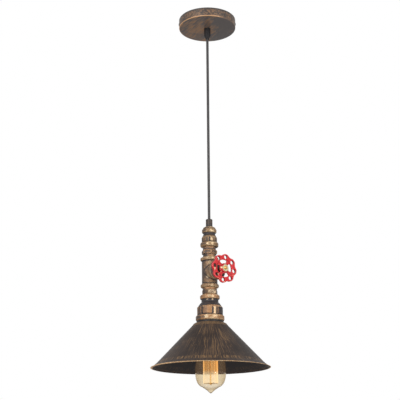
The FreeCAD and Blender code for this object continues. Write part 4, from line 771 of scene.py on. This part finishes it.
def shade_bronze():
    """Thin strokes down the slope in three denser fans, dashes above the rim, and bare copper on the roll."""
    finish = Finish("aged_bronze_shade", (0.05, 0.04, 0.035), gloss=0.09)
    where = finish.place()
    x, y, z = where.axes()
    radius = from_axis((x, y, z))
    around_x, around_y = x / radius, y / radius
    slope = (radius - SHADE_SHOULDER / MILLIMETRES) * SHADE_SLOPE
    outside = (z - SHADE_TOP + 0.0058 + slope).between(-0.0009, -0.0005)
    wander = finish.noise(where, 60.0, 1.0) * 0.04
    strokes = finish.noise(finish.vector((around_x + wander) * 74.0, around_y * 74.0, radius * 30.0), 1.0, 4.0, 0.7)
    clouds = finish.noise(where, 24.0, 2.0)
    fans = (around_y * around_y * around_y * -4.0 + around_y * 3.0).between(-0.7, 0.8)
    fine = (strokes + (clouds - 0.5) * 0.25 + fans * 0.035).between(0.54, 0.66) * outside
    fading = (fans * 0.4 + 0.4) * radius.between(*STROKES_FADE)
    dashes = finish.noise(finish.vector(around_x * 85.0, around_y * 85.0, radius * 60.0), 1.0, 2.0)
    row = radius.between(*DASHES_START) * radius.between(*DASHES_END)
    marks = (dashes + fans * 0.06).between(0.53, 0.62) * row * (outside * 0.8 + 0.1)
    shoulder = radius.between(*SHOULDER_RADII) * dashes.between(0.42, 0.55) * outside
    rim = (radius - x * y.between(0.01, -0.02) * 0.018).between(*RIM_RADII)
    copper_share = (fine * fading).most(marks * 0.9, shoulder * 0.7)
    base = finish.mix(clouds.between(0.3, 0.7), SHADE_BROWN, SHADE_PALE_BROWN)
    base = finish.mix(outside, SHADE_INSIDE, base)
    rolled = finish.mix(dashes.between(0.4, 0.65), RIM_COPPER, RIM_GOLD)
    finish.set("Base Color", finish.mix(rim, finish.mix(copper_share, base, SHADE_COPPER), rolled))
    finish.set("Metallic", copper_share * 0.3 + rim * 0.3)
    return finish.bump(strokes, 0.12, 0.0002)


shade = [
    (SHADE_HOLE, -1.0), (29.2, -1.0, 1.25), (SHADE_SHOULDER, -7.2), (SHADE_LIP, -85.0), (SHADE_RIM, -93.75, -3.7),
    (SHADE_RIM, -92.15), (SHADE_LIP, -83.6), (SHADE_SHOULDER, -5.8, -1.25), (29.6, 0.0), (SHADE_HOLE, 0.0)
]
shade_mesh = lathe("shade", shade, SHADE_TOP, turns=320)
keep("shade_spun", shade_mesh, "lamp", "aged_bronze_paint", shade_bronze(), "shade")
# The collar is painted nearly black, as painted shade under the lower socket's bead.
collar_iron = grained("collar_iron", (0.018, 0.017, 0.018), (0.03, 0.026, 0.024), grain=3.0, metal=0.2, gloss=0.2)
paint(collar_iron, nodes["shade_collar"])


# Bulb
# An amber glass envelope blown to a point, sealed to a glass stem with the lead-in wires and the filament's steel
# supports in it. Its brass cap has a black glass insulator and a tinned contact.

BULB_TOP = -0.7088
PIP_LEVEL = -0.84
PIP_REACH = 0.002
GLASS_EDGE = (0.66, 0.6, 0.52)
AMBER = (0.554, 0.395, 0.027)
AMBER_DEPTH = 560.0
LIT_GLASS = (0.026, 0.0178, 0.0128)


def glass(name, color):
    return Finish(name, color, rough=0.0).set("Transmission Weight", 1.0).set("IOR", 1.2)


def amber_glass():
    """Darker in line with the wall, darker round the root of the pip as a painted ring for its refraction, and faintly
    lit by a painted glow for the filament's light.
    """
    finish = glass("amber_glass", (1, 1, 1))
    z = finish.place().axes()[2]
    facing = finish.add("ShaderNodeLayerWeight", {}, {"Blend": 0.5}, "Facing")
    pip = z.between(PIP_LEVEL + PIP_REACH, PIP_LEVEL) * z.between(PIP_LEVEL - PIP_REACH, PIP_LEVEL)
    dim = facing.between(0.55, 1.0).most(pip * 0.5)
    finish.set("Base Color", finish.mix(dim, (1, 1, 1), GLASS_EDGE))
    finish.set("Emission Color", LIT_GLASS).set("Emission Strength", 1.0)
    soak = finish.add("ShaderNodeVolumeAbsorption", {}, {"Color": AMBER, "Density": AMBER_DEPTH})
    finish.plug(soak, finish.tree.nodes["Material Output"].inputs["Volume"])
    return finish


wire_steel = grained("wire_steel", (0.8, 0.66, 0.45), (0.6, 0.47, 0.3), grain=1.0)
black_glass = grained("black_glass", (0.02, 0.02, 0.03), (0.03, 0.03, 0.04), grain=3.0, rough=0.12, depth=0.00001)
tin = grained("tin", (0.6, 0.6, 0.58), (0.42, 0.42, 0.4), grain=1.0, rough=0.4, metal=1.0)
paint(amber_glass(), nodes["bulb_glass"])
# The stem's golden tint is painted glow, for the filament's light seen through it.
paint(glass("clear_glass", (0.85, 0.55, 0.15)), nodes["bulb_stem"])
paint(brass, nodes["bulb_cap"])
paint(black_glass, nodes["cap_insulator"])
paint(tin, nodes["cap_tip_contact"])
paint(wire_steel, nodes["bulb_lead_ins"], nodes["filament_supports"])


# Filament
# A long thin carbonised wire, bent up and down into a cage and hooked over the supports at every second bend. It
# glows orange, and paler towards the lower bends.


def around_nodes():
    """Repeats a shape round the lamp's axis."""
    tree, (shape, count, finish) = open_nodes("around", {"Count": "Int"})
    points = tree.add("GeometryNodePoints", {}, (count,))
    turn = tree.add("GeometryNodeInputIndex", {}, ()) / count * (2 * math.pi)
    angles = tree.add("ShaderNodeCombineXYZ", {}, {2: turn})
    copies = tree.add("GeometryNodeInstanceOnPoints", {}, {"Points": points, "Instance": shape, "Rotation": angles})
    return close_nodes(tree, copies, finish)


def around(name, mesh, count, finish):
    """A mesh repeated round the lamp's axis."""
    work = bpy.data.objects.new("work", mesh)
    scene.collection.objects.link(work)
    apply_nodes(work, around_nodes(), {"Count": count, "Material": finish.material})
    return worked_out(work, name)


def wire(name, points, radius, sides=6):
    """A thin tube along a run of points."""
    mesh = bmesh.new()
    rings = []
    for index, point in enumerate(points):
        heading = (points[min(index + 1, len(points) - 1)] - points[max(index - 1, 0)]).normalized()
        across = heading.cross(point.normalized().cross(Vector((0, 0, 1)))).normalized()
        other = heading.cross(across)
        ring = []
        for side in range(sides):
            angle = 2 * math.pi * side / sides
            ring.append(mesh.verts.new(point + (across * math.cos(angle) + other * math.sin(angle)) * radius))
        rings.append(ring)
    for lower, upper in zip(rings, rings[1:]):
        for side in range(sides):
            after = (side + 1) % sides
            mesh.faces.new((lower[side], lower[after], upper[after], upper[side]))
    mesh.faces.new(rings[0][::-1])
    mesh.faces.new(rings[-1])
    return closed_mesh(mesh, name)


CAGE_STRANDS = 48
CAGE_RADIUS = 0.0151
CAGE_TOP = BULB_TOP - 0.046
CAGE_FOOT = BULB_TOP - 0.1195
CAGE_TURN = math.radians(22.5)
CAGE_PALE = -0.806
CAGE_FADE = 0.005
WIRE_RADIUS = 0.00032
DIM_ORANGE = (0.62, 0.29, 0.065)
HOT_ORANGE = (1.1, 0.66, 0.24)
DIM_YELLOW = (0.88, 0.74, 0.48)
HOT_YELLOW = (0.95, 0.82, 0.55)


def hairpin():
    """One strand down, a bend at the foot, one strand up and a bend at the top."""
    step = 2 * math.pi / CAGE_STRANDS
    first = CAGE_TURN - step / 2
    bend = CAGE_RADIUS * step / 2
    turns = [math.pi * share / 4 for share in (1, 2, 3)]
    run = [(first, CAGE_TOP - bend), (first, CAGE_FOOT + bend)]
    run += [(first + step / 2 * (1 - math.cos(turn)), CAGE_FOOT + bend * (1 - math.sin(turn))) for turn in turns]
    run += [(first + step, CAGE_FOOT + bend), (first + step, CAGE_TOP - bend)]
    run += [(first + step * 1.5 - step / 2 * math.cos(turn), CAGE_TOP - bend * (1 - math.sin(turn))) for turn in turns]
    run += [(first + step * 2, CAGE_TOP - bend)]
    points = [Vector((CAGE_RADIUS * math.cos(angle), CAGE_RADIUS * math.sin(angle), z)) for angle, z in run]
    return wire("hairpin", points, WIRE_RADIUS)


def glow():
    """Orange, from strand to strand a little hotter or cooler, and pale towards the foot."""
    finish = Finish("filament_wire", (0.5, 0.25, 0.06))
    x, y, z = finish.place().axes()
    strands = finish.noise(finish.vector(x * 520.0, y * 520.0, z * 4.0), 1.0, 1.0)
    warm = finish.mix(strands.between(0.4, 0.62), DIM_ORANGE, HOT_ORANGE)
    pale = finish.mix(strands.between(0.3, 0.7), DIM_YELLOW, HOT_YELLOW)
    low = z.between(CAGE_PALE + CAGE_FADE, CAGE_PALE - CAGE_FADE)
    return finish.set("Emission Color", finish.mix(low, warm, pale)).set("Emission Strength", 1.2)


FILAMENT = glow()
keep("cage", around("cage", hairpin(), CAGE_STRANDS // 2, FILAMENT), "bulb", "filament_wire", FILAMENT, "filament")


# Floor
# A plain pale floor under the lamp, far enough down to be out of the photograph. To the camera it is nearly white,
# and it keeps the lamp's shadow.

FLOOR_LEVEL = -2.4
FLOOR_REACH = 12.0

floor_mesh = bpy.data.meshes.new("floor")
corners = [(-1, -1), (1, -1), (1, 1), (-1, 1)]
floor_mesh.from_pydata([(x * FLOOR_REACH, y * FLOOR_REACH, FLOOR_LEVEL) for x, y in corners], [], [(0, 1, 2, 3)])
floor = bpy.data.objects.new("floor", floor_mesh)
scene.collection.objects.link(floor)
floor_paint = grained("floor_paint", (0.82, 0.82, 0.81), (0.79, 0.79, 0.78), grain=400.0, rough=0.8)
seen = floor_paint.add("ShaderNodeLightPath", {}, (), "Is Camera Ray")
floor_paint.set("Emission Color", floor_paint.mix(seen, (0, 0, 0), (0.5, 0.5, 0.5))).set("Emission Strength", 1.0)
paint(floor_paint, floor)


# Light and background
# A white studio round the lamp. The camera and the glass see plain white, and three soft boxes light the lamp from
# the left, from the right and from below.

STUDIO_FILL = 0.28

world = bpy.data.worlds.new("studio")
scene.world = world
world.use_nodes = True
sky = Tree(world.node_tree)
rays = [
    sky.add("ShaderNodeLightPath", {}, (), ray) for ray in ("Is Camera Ray", "Is Glossy Ray", "Is Transmission Ray")
]
background = world.node_tree.nodes["Background"]
sky.plug(rays[0].most(*rays[1:]) * (1 - STUDIO_FILL) + STUDIO_FILL, background.inputs["Strength"])
sky.plug((1, 1, 1), background.inputs["Color"])


def soft_box(name, place, aim, size, power, mirrored=True):
    light = bpy.data.lights.new(name, "AREA")
    light.shape = "RECTANGLE"
    light.size, light.size_y = size
    light.energy = power
    lamp = bpy.data.objects.new(name, light)
    scene.collection.objects.link(lamp)
    lamp.location = place
    lamp.rotation_euler = (Vector(aim) - Vector(place)).to_track_quat("-Z", "Y").to_euler()
    lamp.visible_camera = False
    lamp.visible_transmission = False
    lamp.visible_glossy = mirrored


soft_box("key_light", place=(-1.15, -1.77, -0.1), aim=(0, 0, -0.5), size=(0.5, 1.1), power=32)
soft_box("strip_light", place=(1.35, -1.61, -0.25), aim=(0, 0, -0.6), size=(0.28, 1.3), power=25)
soft_box("low_light", place=(0.1, -1.2, -1.9), aim=(0, 0, -0.5), size=(1.0, 0.6), power=12, mirrored=False)

scene.view_settings.view_transform = "Standard"
